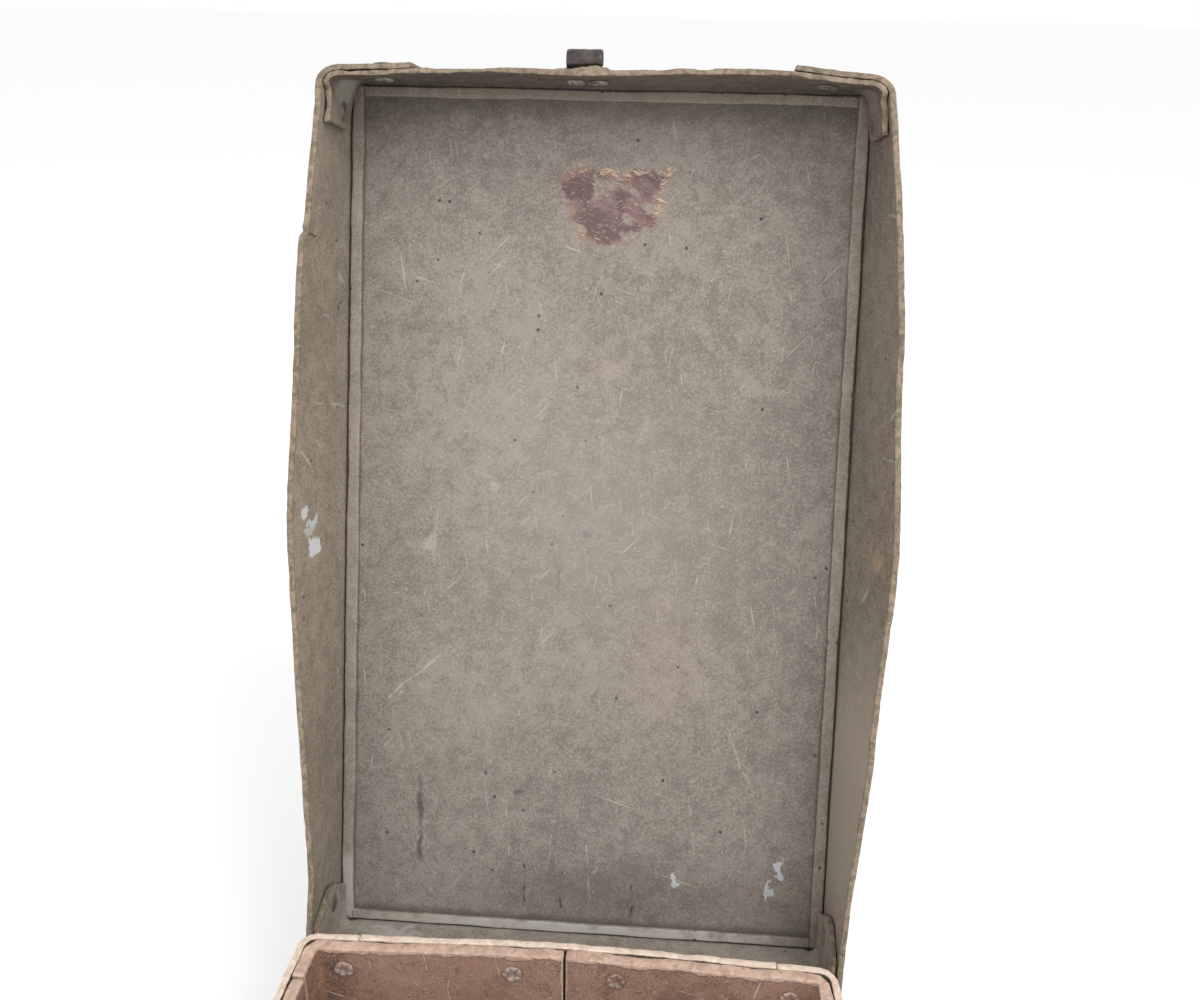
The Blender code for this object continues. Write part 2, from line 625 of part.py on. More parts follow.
def catch_plate(wall, pieces):
    """The latch's base: a plate with two ears that carry the bail."""
    face = -BODY_LENGTH / 2 - GAP
    top = AXIS_Z - CATCH_TOP_DROP
    half = CATCH_WIDTH / 2
    bm = bmesh.new()
    add_box(bm, (LATCH_X - half, face - CATCH_SHEET, top - CATCH_HEIGHT), (LATCH_X + half, face, top))
    catch = add_object("catch_plate", mesh_from(bm, "catch_plate"), DARK_STEEL)
    for side, place in ((-1, "left"), (1, "right")):
        outer = LATCH_X + side * EAR_OUTER_SPAN / 2
        low_x, high_x = sorted((outer, outer - side * CATCH_SHEET))
        ear = bmesh.new()
        add_box(ear, (low_x, BAIL_Y, BAIL_Z - EAR_RADIUS),
                (high_x, face - CATCH_SHEET / 2, BAIL_Z + EAR_RADIUS))
        combine(catch, helper("ear_" + place, mesh_from(ear, "ear"), None), "UNION")
        tip = bmesh.new()
        add_cylinder(tip, EAR_RADIUS, CATCH_SHEET, along_x(((low_x + high_x) / 2, BAIL_Y, BAIL_Z)))
        combine(catch, helper("ear_tip_" + place, mesh_from(tip, "ear_tip"), None), "UNION")
    bore = bmesh.new()
    add_cylinder(bore, BAIL_WIRE_RADIUS + BORE_CLEARANCE, 2 * EAR_OUTER_SPAN,
                 along_x((LATCH_X, BAIL_Y, BAIL_Z)))
    combine(catch, helper("ear_bore", mesh_from(bore, "ear_bore"), None), "DIFFERENCE")
    edge = RIVET_HEAD_RADIUS + CATCH_RIVET_EDGE
    for z, place in ((top - edge, "top"), (top - CATCH_HEIGHT + edge, "bottom")):
        rivet("catch_rivet_" + place, (LATCH_X, -BODY_LENGTH / 2 + WALL_TOTAL, z),
              (LATCH_X, face - CATCH_SHEET, z), None, (pieces["front"], wall, catch))


def latch_bail(parent):
    """A closed loop of wire: one bar turns in the ears, and the other hooks over the keeper."""
    half = BAIL_SPAN / 2
    corners = [(-half, 0.0), (half, 0.0), (half, -BAIL_REACH), (-half, -BAIL_REACH)]
    curve = bpy.data.curves.new("latch_bail", "CURVE")
    curve.dimensions = "3D"
    curve.bevel_depth = BAIL_WIRE_RADIUS
    curve.bevel_resolution = 2
    points = []
    for (x, z), start in zip(corners, (180, 90, 0, -90)):
        centre_x = x - math.copysign(BAIL_BEND, x)
        centre_z = z + (-BAIL_BEND if z == 0.0 else BAIL_BEND)
        for step in range(ARC_STEPS):
            angle = math.radians(start - 90 * step / (ARC_STEPS - 1))
            points.append((centre_x + BAIL_BEND * math.cos(angle), 0.0,
                           centre_z + BAIL_BEND * math.sin(angle), 1.0))
    spline = curve.splines.new("POLY")
    spline.points.add(len(points) - 1)
    for point, place in zip(spline.points, points):
        point.co = place
    spline.use_cyclic_u = True
    bail = bpy.data.objects.new("latch_bail", curve)
    PARTS.objects.link(bail)
    curve.materials.append(new_material("latch_bail_wire", *DARK_STEEL[1:]))
    bail.parent = parent


def empty_at(name, location, angle=0.0):
    empty = bpy.data.objects.new(name, None)
    PARTS.objects.link(empty)
    empty.location = location
    empty.rotation_euler = (angle, 0.0, 0.0)
    return empty


def smooth_round_pieces():
    for obj in PARTS.objects:
        if obj.type == "MESH":
            obj.data.shade_smooth()
            obj.data.set_sharp_from_angle(angle=math.radians(35))


def main():
    lid_axis = empty_at("lid_axis", (0.0, AXIS_Y, AXIS_Z), -OPEN_ANGLE)
    bail_axis = empty_at("bail_axis", (LATCH_X, BAIL_Y, BAIL_Z))
    lid_walls = lid_assembly(lid_axis)
    body_walls, body_pieces = body_assembly()
    hinges(lid_walls, body_walls, body_pieces, lid_axis)
    catch_plate(body_walls["front"], body_pieces)
    latch_bail(bail_axis)
    smooth_round_pieces()


main()
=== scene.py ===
"""Riveted fibreboard lunch box, standing open on its base.

The lid's pieces are shaped shut, in the frame of the hinge axis (y to the back, z up, rim at 0),
and then turned open. Lengths are in metres, and tables of bent edges in millimetres.
"""

import math

import bpy
import numpy as np
from mathutils import Matrix, Vector


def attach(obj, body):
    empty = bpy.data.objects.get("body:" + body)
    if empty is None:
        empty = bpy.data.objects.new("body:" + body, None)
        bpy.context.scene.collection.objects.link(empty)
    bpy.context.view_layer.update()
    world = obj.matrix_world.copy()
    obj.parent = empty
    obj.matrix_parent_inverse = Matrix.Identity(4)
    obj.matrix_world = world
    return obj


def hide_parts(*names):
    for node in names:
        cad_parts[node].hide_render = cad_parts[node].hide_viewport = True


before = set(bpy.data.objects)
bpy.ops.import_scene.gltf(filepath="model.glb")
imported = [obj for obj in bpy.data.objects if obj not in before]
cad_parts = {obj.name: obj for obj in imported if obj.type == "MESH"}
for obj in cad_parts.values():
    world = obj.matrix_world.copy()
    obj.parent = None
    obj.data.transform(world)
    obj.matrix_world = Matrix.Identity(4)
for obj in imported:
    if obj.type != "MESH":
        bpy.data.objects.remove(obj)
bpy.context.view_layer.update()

# ---- the box's dimensions ----
GAP = 0.0003
LID_WIDTH, LID_LENGTH, LID_DEPTH, LID_BOARD = 0.19, 0.322, 0.04, 0.0022
LID_CORNER, LID_WRAP = 0.0055, 0.03
FRONT_TAB, HINGE_TAB, TAB_SETBACK = 0.018, 0.023, 0.0035
STRIP_WIDTH, STRIP_THICKNESS, STRIP_SEAM = 0.004, 0.0018, 0.0006
BODY_WIDTH, BODY_LENGTH, BODY_HEIGHT = 0.182, 0.31, 0.095
BODY_BOARD, BODY_BOW, BODY_CORNER, BODY_WRAP, BASE_BOARD = 0.0026, 0.003, 0.006, 0.02, 0.003
LINER_BOARD, LINER_RETURN, LINER_SEAM, LINER_BEND = 0.0042, 0.012, 0.0009, 0.0012
WALL_TOTAL = BODY_BOARD + GAP + LINER_BOARD
BACK_OUTER = -0.0034
BACK_INNER = BACK_OUTER - LID_BOARD
FRONT_INNER = BACK_INNER - LID_LENGTH
AXIS_Y, AXIS_Z = 0.1636, 0.061
OPEN = math.radians(108)
LATCH_X = -0.006
RIVET_HEAD, RIVET_SHANK, RIVET_RISE = 0.0034, 0.0013, 0.0011
CORNER_RIVET_RISE = 0.45 * RIVET_RISE
TAB_RIVET_SHARE, TAB_RIVET_HEIGHT, WRAP_RIVET_SHARE, WRAP_RIVET_HEIGHT = 0.66, 0.52, 0.62, 0.3
LEAF_SHEET, LEAF_RIVET_DROP, HINGE_SPACING, HINGE_RIVET_SPACING = 0.0012, 0.012, 0.088, 0.018
LEAF_STAND_OFF = 0.0019
ROLL_RADIUS, ROLL_HEIGHT, KEEPER_SHEET, KEEPER_LEAN = 0.0028, 0.0046, 0.001, 0.0058
KEEPER_RIVET_X, KEEPER_RIVET_HEIGHT = 0.0039, 0.0146
CATCH_TOP, CATCH_HEIGHT, CATCH_SHEET, CATCH_RIVET_INSET = 0.055, 0.034, 0.0012, 0.0047
LINER_RIVETS = {"middle": (0.0175, 0.0055), "corner": (BODY_WIDTH / 2 - WALL_TOTAL - 0.0085, 0.0085)}
SIDES = ((-1, "left"), (1, "right"))
# Across, run from the hinge wall, size along, depth.
PANEL_CRACKS = ((-0.022, 0.019, 0.007, 0.0005), (-0.0074, 0.017, 0.006, 0.0003),
                (0.0207, 0.013, 0.008, 0.0005), (-0.064, 0.042, 0.015, 0.0003))
ROOT_TRIM = 0.00012         # the long walls end just below the panel's outer face
EDGE_ROUNDING = 0.0004

# How far each lid rim stands out from its straight line, by distance from the hinge wall or by x.
LEFT_RIM = ((0, -0.8), (15, -0.8), (23, -1.1), (34, -1.4), (45, -0.8), (67, 1.0), (89, 3.0), (111, 4.5),
            (132, 5.9), (154, 7.2), (170, 7.7), (185, 7.4), (206, 6.2), (227, 5.5), (247, 4.9), (263, 4.3),
            (264, 2.7), (277, 1.6), (297, 0.1), (306, -0.6), (322, -1.0))
RIGHT_RIM = ((0, -0.6), (22, 0.0), (35, 0.9), (57, 3.0), (79, 5.1), (100, 6.2), (122, 7.6), (143, 9.3),
             (153, 9.8), (163, 10.0), (173, 9.7), (194, 8.4), (214, 7.4), (243, 6.4), (263, 5.0),
             (282, 3.1), (297, 1.5), (322, -1.2))
FRONT_RIM = ((-92, 7.4), (-84, 7.2), (-70, 6.8), (-57, 5.6), (-30, 5.4), (-8, 6.0), (9, 5.7), (22, 4.7),
             (48, 4.2), (61, 4.6), (74, 6.0), (87, 7.0), (92, 7.4))

# How far the torn label reaches from its middle, by angle in degrees.
LABEL_REACH = ((-172, 16.3), (-144, 16.8), (-123, 16.1), (-91, 15.1), (-44, 14.6), (-9, 18.7), (17, 19.5),
               (33, 25.5), (47, 17.9), (75, 11.0), (112, 13.6), (138, 21.5), (155, 22.0), (169, 19.0))
# How far the body's back rim has risen, by x.
BACK_RIM = ((-91, 0.0), (-82, 0.0), (-60, 0.9), (-34, 2.0), (-8, 2.8), (20, 2.5), (48, 1.3), (75, 0.2),
            (91, 0.0))


# ---- numbers over a grid ----
def lattice_noise(u, v, seed):
    """Smooth heights from -1 to 1: random values at whole numbers of u and v, eased between them."""
    table = np.random.default_rng(seed).uniform(-1, 1, (61, 67))
    cell_u, cell_v = np.floor(u).astype(int), np.floor(v).astype(int)
    part_u, part_v = u - cell_u, v - cell_v
    part_u, part_v = part_u * part_u * (3 - 2 * part_u), part_v * part_v * (3 - 2 * part_v)
    low = table[cell_u % 61, cell_v % 67] * (1 - part_u) + table[(cell_u + 1) % 61, cell_v % 67] * part_u
    high = (table[cell_u % 61, (cell_v + 1) % 67] * (1 - part_u)
            + table[(cell_u + 1) % 61, (cell_v + 1) % 67] * part_u)
    return low * (1 - part_v) + high * part_v


def rough(u, v, seed, octaves=4):
    """Lattice noise at finer and finer sizes, each half as strong as the last."""
    return sum(lattice_noise(u * 2.03**k, v * 2.03**k, seed + k) / 2**k for k in range(octaves))


def softened(at, table, window=6.0):
    """A table's value at a place, averaged over a window so that its corners are round."""
    keys, values = np.array(table).T
    return sum(np.interp(at + shift, keys, values) for shift in np.linspace(-window, window, 9)) / 9


def eased(value, low, high):
    share = np.clip((value - low) / (high - low), 0, 1)
    return share * share * (3 - 2 * share)


# ---- how the lid and the body have bent ----
def bend_lid(points):
    """Walls lean by a share that grows from 0 at the panel to 1 at the rim, by the rim tables."""
    x, y, z = np.moveaxis(points, -1, 0)
    share = np.clip(1 - z / LID_DEPTH, 0, 1)
    run = (BACK_INNER - y) * 1000
    side = np.clip(3 * x / LID_WIDTH, -1, 1)
    bow = np.where(side < 0, softened(run, LEFT_RIM, 3.0), softened(run, RIGHT_RIM)) / 1000
    lean = softened(x * 1000, FRONT_RIM) / 1000 * np.maximum(0, 8 * run / (LID_LENGTH * 1000) - 7)
    return np.stack([x + side * bow * share, y + lean * share, z], -1)


def bend_body(points):
    x, y, z = np.moveaxis(points, -1, 0)
    along = np.clip(0.5 - y / BODY_LENGTH, 0, 1)
    side = np.clip(3 * x / LID_WIDTH, -1, 1)
    return np.stack([x + side * BODY_BOW * np.sin(np.pi * along) * z / BODY_HEIGHT, y, z], -1)


def back_rim(line):
    """Height of the back boards' rim along a plan line, sinking to the sides' height round the corners."""
    x, y = line[0].T
    near_back = eased(y, BODY_LENGTH / 2 - 0.015, BODY_LENGTH / 2 - 0.008)
    return softened(x * 1000, BACK_RIM) / 1000 * near_back


def open_lid(points):
    """Turns points of the shut lid about the hinge axis and sets the axis in its place."""
    x, y, z = np.moveaxis(points, -1, 0)
    return np.stack([x, AXIS_Y + y * math.cos(OPEN) + z * math.sin(OPEN),
                     AXIS_Z - y * math.sin(OPEN) + z * math.cos(OPEN)], -1)


def on_panel(x, run, lift=0.0):
    """Where a place on the lid panel's inner face is once open; x and run are in millimetres."""
    return open_lid(np.array([x / 1000, BACK_INNER - run / 1000, LID_DEPTH - lift]))


def on_lid_wall(side, run, z):
    place = np.array([side * LID_WIDTH / 2, BACK_INNER - run / 1000, z / 1000])
    return open_lid(bend_lid(place))


# ---- meshes ----
def add_object(name, data):
    obj = bpy.data.objects.new(name, data)
    bpy.context.scene.collection.objects.link(obj)
    return obj


def skin(name, rings, material, body, replaced, marks=None):
    """A closed mesh from rings of points, each ring joined to the next and both end rings filled.

    A ring runs along one side of its section and back along the other, so that its fill is a strip of
    faces between the two sides. marks are numbers for the material, one to a point.
    """
    count, size = rings.shape[:2]
    index = np.arange(count * size).reshape(count, size)
    turned = np.roll(index, -1, axis=1)
    sides = np.stack([index[:-1], turned[:-1], turned[1:], index[1:]], -1).reshape(-1, 4)
    step = np.arange(size // 2 - 1)
    ends = [np.stack([ring[step], ring[step + 1], ring[size - 2 - step], ring[size - 1 - step]], -1)
            for ring in (index[0], index[-1])]
    faces = np.concatenate([sides, ends[0][:, ::-1], ends[1]])
    points = rings.reshape(-1, 3)
    a, b, c, d = (points[faces[:, k]] for k in range(4))
    volume = (np.cross(a, b) * c).sum() + (np.cross(a, c) * d).sum()
    if volume < 0:
        faces = faces[:, ::-1]
    mesh = bpy.data.meshes.new(name)
    mesh.vertices.add(len(points))
    mesh.vertices.foreach_set("co", points.astype(np.float32).ravel())
    mesh.loops.add(faces.size)
    mesh.loops.foreach_set("vertex_index", faces.astype(np.int32).ravel())
    mesh.polygons.add(len(faces))
    mesh.polygons.foreach_set("loop_start", np.arange(0, faces.size, 4, dtype=np.int32))
    mesh.update(calc_edges=True)
    mesh.shade_smooth()
    for key, values in (marks or {}).items():
        layer = mesh.attributes.new(key, "FLOAT", "POINT")
        layer.data.foreach_set("value", np.broadcast_to(values, rings.shape[:2]).astype(np.float32).ravel())
    obj = add_object(name, mesh)
    mesh.materials.append(material)
    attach(obj, body)
    if replaced:
        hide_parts(*replaced)
    return obj


def plan_line(corners, radius, spacing):
    """Evenly spaced points along a plan line with rounded corners, and the normal on its right side."""
    corners = [np.array(c, float) for c in corners]
    line = [corners[0]]
    for before, corner, after in zip(corners, corners[1:], corners[2:]):
        back = (before - corner) / np.linalg.norm(before - corner)
        ahead = (after - corner) / np.linalg.norm(after - corner)
        turn = np.linspace(0, np.pi / 2, 12)[:, None]
        arc = (back + ahead) * radius - ahead * radius * np.cos(turn) - back * radius * np.sin(turn)
        line += list(corner + arc)
    line.append(corners[-1])
    line = np.array(line)
    runs = np.concatenate([[0], np.cumsum(np.linalg.norm(np.diff(line, axis=0), axis=1))])
    at = np.linspace(0, runs[-1], max(8, int(runs[-1] / spacing)))
    points = np.stack([np.interp(at, runs, line[:, k]) for k in (0, 1)], -1)
    ahead = np.gradient(points, axis=0)
    ahead /= np.linalg.norm(ahead, axis=1)[:, None]
    return points, np.stack([ahead[:, 1], -ahead[:, 0]], -1), at


def rows_from_edge(height):
    """Distances from a torn edge across a board, close together near it and again at the far edge."""
    near = np.array([0.0, 0.1, 0.25, 0.5, 0.85, 1.3, 1.9, 2.7, 3.7, 5.0, 6.5]) / 1000
    far = np.linspace(0.0085, height - 0.0012, max(4, int(height / 0.0032)))
    return np.concatenate([near, far, [height - 0.0005, height - 0.0001]])


def stood_board(name, line, edge, root, thickness, bend, seed, material, torn=0.0006, peel=0.3, after=None,
                body="body"):
    """A board stood on edge along a plan line, its outer face on the line's right side.

    The first parameter is the distance along the line. The second goes down the inner face from the
    fixed root to the torn edge, round it, and back up the outer face. The edge wanders by torn and its
    two plies peel back by a share of the thickness; both edges are rounded.
    """
    points, outward, at = line
    edge, root = np.broadcast_to(edge, at.shape), np.broadcast_to(root, at.shape)
    tall = np.abs(root - edge).max()
    rows = rows_from_edge(tall)
    inward = np.sign(root - edge)[:, None]
    wander = (np.abs(rough(at / 0.011, at * 0, seed, 3)) * torn
              + np.abs(rough(at / 0.0022, at * 0, seed + 5, 2)) * torn * 0.5)
    heights = edge[:, None] + (root - edge)[:, None] * rows / tall
    heights = heights + inward * wander[:, None] * np.exp(-rows / 0.004)
    half = thickness / 2
    from_edge = np.clip(np.minimum(rows, tall - rows) / EDGE_ROUNDING, 0, 1)
    full = 1 - EDGE_ROUNDING / half * (1 - np.sqrt(1 - (1 - from_edge) ** 2))
    dents = rough(at[:, None] / 0.03, rows / 0.03, seed + 9, 3) * 0.00022
    dents = dents * np.clip((tall - rows) / 0.012, 0, 1)
    fine = rough(at[:, None] / 0.0016, rows / 0.0016, seed + 13, 2) * 0.00005
    frayed = np.exp(-rows / 0.0022) * thickness * peel
    inner_peel = np.maximum(0, rough(at / 0.007, at * 0, seed + 21, 3))[:, None] * frayed
    outer_peel = np.maximum(0, rough(at / 0.006, at * 0, seed + 31, 3))[:, None] * frayed
    inner = half - half * full + np.minimum(inner_peel, half * 0.8) + fine + dents
    outer = half + half * full - np.minimum(outer_peel, half * 0.8) + fine + dents
    ends = np.minimum(at, at[-1] - at)
    surfaces = []
    for offset, height in ((inner[:, ::-1], heights[:, ::-1]), (outer, heights)):
        flat = points[:, None, :] + outward[:, None, :] * offset[..., None]
        surfaces.append(bend(np.concatenate([flat, height[..., None]], -1)))
    rings = np.concatenate(surfaces, axis=1)
    distance = np.concatenate([rows[::-1], rows])[None, :]
    marks = {"edge": distance, "end": np.repeat(ends[:, None], rings.shape[1], 1),
             "outer": np.concatenate([np.zeros(len(rows)), np.ones(len(rows))])[None, :] + distance * 0,
             "far": tall - distance}
    if after is not None:
        rings = after(rings)
    return skin(name + "_board", rings, material, body, (name,), marks)


# ---- shader nodes ----
def feed(tree, socket, value):
    """Links a socket to another, or sets its value; a plain colour is opaque."""
    if isinstance(value, bpy.types.NodeSocket):
        tree.links.new(value, socket)
    elif value is not None:
        socket.default_value = (*value[:3], 1) if socket.type == "RGBA" else value


def node(tree, kind, inputs=None, **settings):
    made = tree.nodes.new("ShaderNode" + kind)
    for key, value in settings.items():
        setattr(made, key, value)
    for key, value in (inputs or {}).items():
        feed(tree, made.inputs[key], value)
    return made


def tree_of(*values):
    return next(value.id_data for value in values if isinstance(value, bpy.types.NodeSocket))


def maths(operation, a, b, clamp=False):
    return node(tree_of(a, b), "Math", {0: a, 1: b}, operation=operation, use_clamp=clamp).outputs[0]


def times(a, b, clamp=False):
    return maths("MULTIPLY", a, b, clamp)


def plus(a, b):
    return maths("ADD", a, b)


def minus(a, b):
    return maths("SUBTRACT", a, b)


def vector_maths(operation, a, b=None, scale=None, output="Vector"):
    inputs = {0: a, 1: b} if scale is None else {0: a, "Scale": scale}
    return node(tree_of(a, b), "VectorMath", inputs, operation=operation).outputs[output]


def between(value, low, high, start=0.0, end=1.0):
    """start where value is low, end where it is high, eased between."""
    inputs = {"Value": value, "From Min": low, "From Max": high, "To Min": start, "To Max": end}
    return node(value.id_data, "MapRange", inputs, interpolation_type="SMOOTHSTEP").outputs["Result"]


def blend(share, a, b):
    return node(share.id_data, "Mix", {0: share, 6: a, 7: b}, data_type="RGBA").outputs[2]


def noise(vector, scale, detail=3.0, roughness=0.55, distortion=0.0):
    return node(vector.id_data, "TexNoise", {"Vector": vector, "Scale": scale, "Detail": detail,
                                             "Roughness": roughness, "Distortion": distortion}).outputs["Fac"]


def stretched(vector, turn, scale):
    """The vector turned, then scaled by different amounts along its axes."""
    scale = tuple(1 / part for part in scale)
    inputs = {"Vector": vector, "Rotation": turn, "Scale": scale}
    return node(vector.id_data, "Mapping", inputs, vector_type="TEXTURE").outputs[0]


def shader_group(name, inputs, outputs, fill):
    """A node group; fill gets its tree, its input sockets by name, and returns its outputs by name."""
    tree = bpy.data.node_groups.new(name, "ShaderNodeTree")
    kinds = {"v": "NodeSocketVector", "f": "NodeSocketFloat", "c": "NodeSocketColor"}
    for key, kind in inputs.items():
        tree.interface.new_socket(key, in_out="INPUT", socket_type=kinds[kind])
    for key, kind in outputs.items():
        tree.interface.new_socket(key, in_out="OUTPUT", socket_type=kinds[kind])
    source, target = tree.nodes.new("NodeGroupInput"), tree.nodes.new("NodeGroupOutput")
    for key, socket in fill(tree, source.outputs).items():
        tree.links.new(socket, target.inputs[key])
    return tree


def use(tree, group, **inputs):
    return node(tree, "Group", inputs, node_tree=group).outputs


def fill_mottle(tree, given):
    """Pressed board: broad clouding, fine fibre grain, pale flecks and small dark pits."""
    at = given["Vector"]
    broad, middle = noise(at, 11.0, 3.0), noise(at, 150.0, 6.0, 0.68, 0.3)
    grain = noise(at, 1000.0, 3.0, 0.75)
    tone = plus(times(broad, 0.26),
                plus(times(middle, 0.36), times(grain, 0.48)))
    colour = blend(between(tone, 0.46, 0.635), given["Dark"], given["Light"])
    fibre = noise(stretched(at, (0.8, 0.4, 1.3), (260.0, 1500.0, 1500.0)), 1.0, 3.0, 0.6, 1.2)
    other = noise(stretched(at, (0.2, 1.2, 0.5), (1500.0, 1500.0, 300.0)), 1.0, 3.0, 0.6, 1.2)
    hairs = maths("MAXIMUM", between(fibre, 0.645, 0.7), between(other, 0.645, 0.7))
    colour = blend(times(hairs, times(given["Flecks"], 0.6)),
                   colour, given["Fleck"])
    long_flecks = noise(stretched(at, (0.3, 0.2, 0.9), (620.0, 1500.0, 1000.0)), 1.0, 2.0, 0.5)
    short_flecks = noise(at, 1900.0, 1.0, 0.5)
    fleck = plus(between(long_flecks, 0.68, 0.73, 0.0, 0.9),
                  between(short_flecks, 0.64, 0.72, 0.0, 0.55))
    fleck = times(fleck, given["Flecks"], clamp=True)
    colour = blend(fleck, colour, given["Fleck"])
    cells = node(tree, "TexVoronoi", {"Vector": at, "Scale": 260.0, "Randomness": 1.0})
    lot = node(tree, "SeparateColor", {0: cells.outputs["Color"]}).outputs[0]
    chosen = maths("GREATER_THAN", lot, 0.955)
    pit = times(between(cells.outputs["Distance"], 0.2, 0.12), chosen)
    colour = blend(times(pit, 0.75), colour, (0.02, 0.018, 0.016, 1))
    height = plus(times(grain, 0.5), times(middle, 0.7))
    height = minus(plus(height, times(fleck, 0.25)),
                   times(pit, 0.8))
    return {"Color": colour, "Height": height, "Roughness": between(middle, 0.3, 0.7, 0.92, 0.76)}


def fill_torn(tree, given):
    """Torn board edge: loose fibres across the edge, in clumps whose reach wanders."""
    at = given["Vector"]
    wandering = between(noise(at, 120.0, 5.0, 0.7), 0.3, 0.7, 0.45, 1.55)
    reach = times(given["Reach"], wandering)
    mask = between(maths("DIVIDE", given["Distance"], reach), 1.08, 0.85)
    clump = noise(at, 330.0, 4.0, 0.7, 0.6)
    colour = blend(between(clump, 0.34, 0.66), given["Dark"], given["Light"])
    hairs = noise(stretched(at, (0.5, 0.9, 0.2), (1900.0, 500.0, 1400.0)), 1.0, 2.0, 0.6)
    colour = blend(between(hairs, 0.62, 0.7, 0.0, 0.6), colour, given["Light"])
    return {"Mask": mask, "Color": colour, "Height": plus(clump, times(hairs, 0.6))}


def fill_scratches(tree, given):
    """Fine straight scratches in three directions, broken up along their length."""
    total = None
    for turn, threshold in ((0.3, 0.7), (-0.8, 0.7), (1.4, 0.68), (1.75, 0.69)):
        drawn = stretched(given["Vector"], (0.0, turn, 0.0), (34.0, 34.0, 980.0))
        lines = noise(drawn, 1.0, 2.0, 0.5, 0.15)
        broken = between(noise(given["Vector"], 55.0 + 20.0 * turn, 2.0), 0.5, 0.62)
        line = times(between(lines, threshold, threshold + 0.03), broken)
        total = line if total is None else maths("MAXIMUM", total, line)
    return {"Mask": times(total, given["Amount"], clamp=True)}


def jittered(vector, scale, detail, amount):
    """The vector, pushed about by a noise of the given scale and amount."""
    inputs = {"Vector": vector, "Scale": scale, "Detail": detail}
    shift = node(vector.id_data, "TexNoise", inputs).outputs["Color"]
    shift = vector_maths("SUBTRACT", shift, (0.5, 0.5, 0.5))
    return vector_maths("ADD", vector, vector_maths("SCALE", shift, scale=amount))


def fill_blot(tree, given):
    """A patch with a ragged outline about a centre: full inside, nothing outside its size."""
    at = jittered(given["Vector"], 210.0, 4.0, given["Ragged"])
    away = vector_maths("SUBTRACT", at, given["Centre"])
    away = vector_maths("DIVIDE", away, given["Size"])
    length = vector_maths("LENGTH", away, output="Value")
    return {"Mask": between(length, 1.0, given["Inner"])}


def fill_line(tree, given):
    """A thin mark between two points: full along the middle, gone at its width, slightly unsteady."""
    at = jittered(given["Vector"], 160.0, 3.0, 0.003)
    span = vector_maths("SUBTRACT", given["End"], given["Start"])
    away = vector_maths("SUBTRACT", at, given["Start"])
    reached = vector_maths("DOT_PRODUCT", away, span, output="Value")
    whole = vector_maths("DOT_PRODUCT", span, span, output="Value")
    foot = vector_maths("SCALE", span, scale=maths("DIVIDE", reached, whole, clamp=True))
    apart = vector_maths("DISTANCE", away, foot, output="Value")
    return {"Mask": between(maths("DIVIDE", apart, given["Width"]), 1.0, 0.25)}


def fill_steel(tree, given):
    """Dark sheet steel: blue-grey scale, brown rust in patches, and rubbed bright spots."""
    at = given["Vector"]
    patches, fine = noise(at, 160.0, 6.0, 0.65), noise(at, 1400.0, 3.0, 0.7)
    colour = blend(between(patches, 0.35, 0.65), given["Base"], given["Rubbed"])
    rust = times(between(noise(at, 240.0, 6.0, 0.7, 0.4), 0.5, 0.64), given["Rust"])
    colour = blend(rust, colour, (0.115, 0.052, 0.026, 1))
    roughness = plus(between(patches, 0.3, 0.7, 0.46, 0.28), times(rust, 0.4))
    height = plus(times(fine, 0.35), times(rust, 0.8))
    return {"Color": colour, "Rust": rust, "Roughness": roughness, "Height": height}


MOTTLE = shader_group("fibre_mottle", {"Vector": "v", "Light": "c", "Dark": "c", "Fleck": "c", "Flecks": "f"},
                      {"Color": "c", "Height": "f", "Roughness": "f"}, fill_mottle)
TORN = shader_group("torn_edge", {"Vector": "v", "Distance": "f", "Reach": "f", "Light": "c", "Dark": "c"},
                    {"Mask": "f", "Color": "c", "Height": "f"}, fill_torn)
SCRATCHES = shader_group("scratches", {"Vector": "v", "Amount": "f"}, {"Mask": "f"}, fill_scratches)
BLOT = shader_group("blot", {"Vector": "v", "Centre": "v", "Size": "v", "Ragged": "f", "Inner": "f"},
                    {"Mask": "f"}, fill_blot)
LINE = shader_group("line_mark", {"Vector": "v", "Start": "v", "End": "v", "Width": "f"}, {"Mask": "f"},
                    fill_line)
STEEL = shader_group("worn_steel", {"Vector": "v", "Base": "c", "Rubbed": "c", "Rust": "f"},
                     {"Color": "c", "Rust": "f", "Roughness": "f", "Height": "f"}, fill_steel)


def new_material(name):
    material = bpy.data.materials.new(name)
    material.use_nodes = True
    tree = material.node_tree
    return material, tree, tree.nodes["Principled BSDF"], node(tree, "TexCoord").outputs["Object"]


def attribute(tree, name):
    return node(tree, "Attribute", attribute_name=name).outputs["Fac"]


def blots(tree, at, colour, patches):
    """Lays patches over a colour. Each is (centre, size, ragged, inner, strength, its colour)."""
    for centre, size, ragged, inner, strength, tint in patches:
        mask = use(tree, BLOT, Vector=at, Centre=tuple(centre), Size=size, Ragged=ragged, Inner=inner)["Mask"]
        colour = blend(times(mask, strength), colour, tint)
    return colour


def lines(tree, at, colour, marks):
    """Lays thin marks over a colour. Each is (start, end, width, strength, its colour)."""
    for start, end, width, strength, tint in marks:
        mask = use(tree, LINE, Vector=at, Start=tuple(start), End=tuple(end), Width=width)["Mask"]
        colour = blend(times(mask, strength), colour, tint)
    return colour


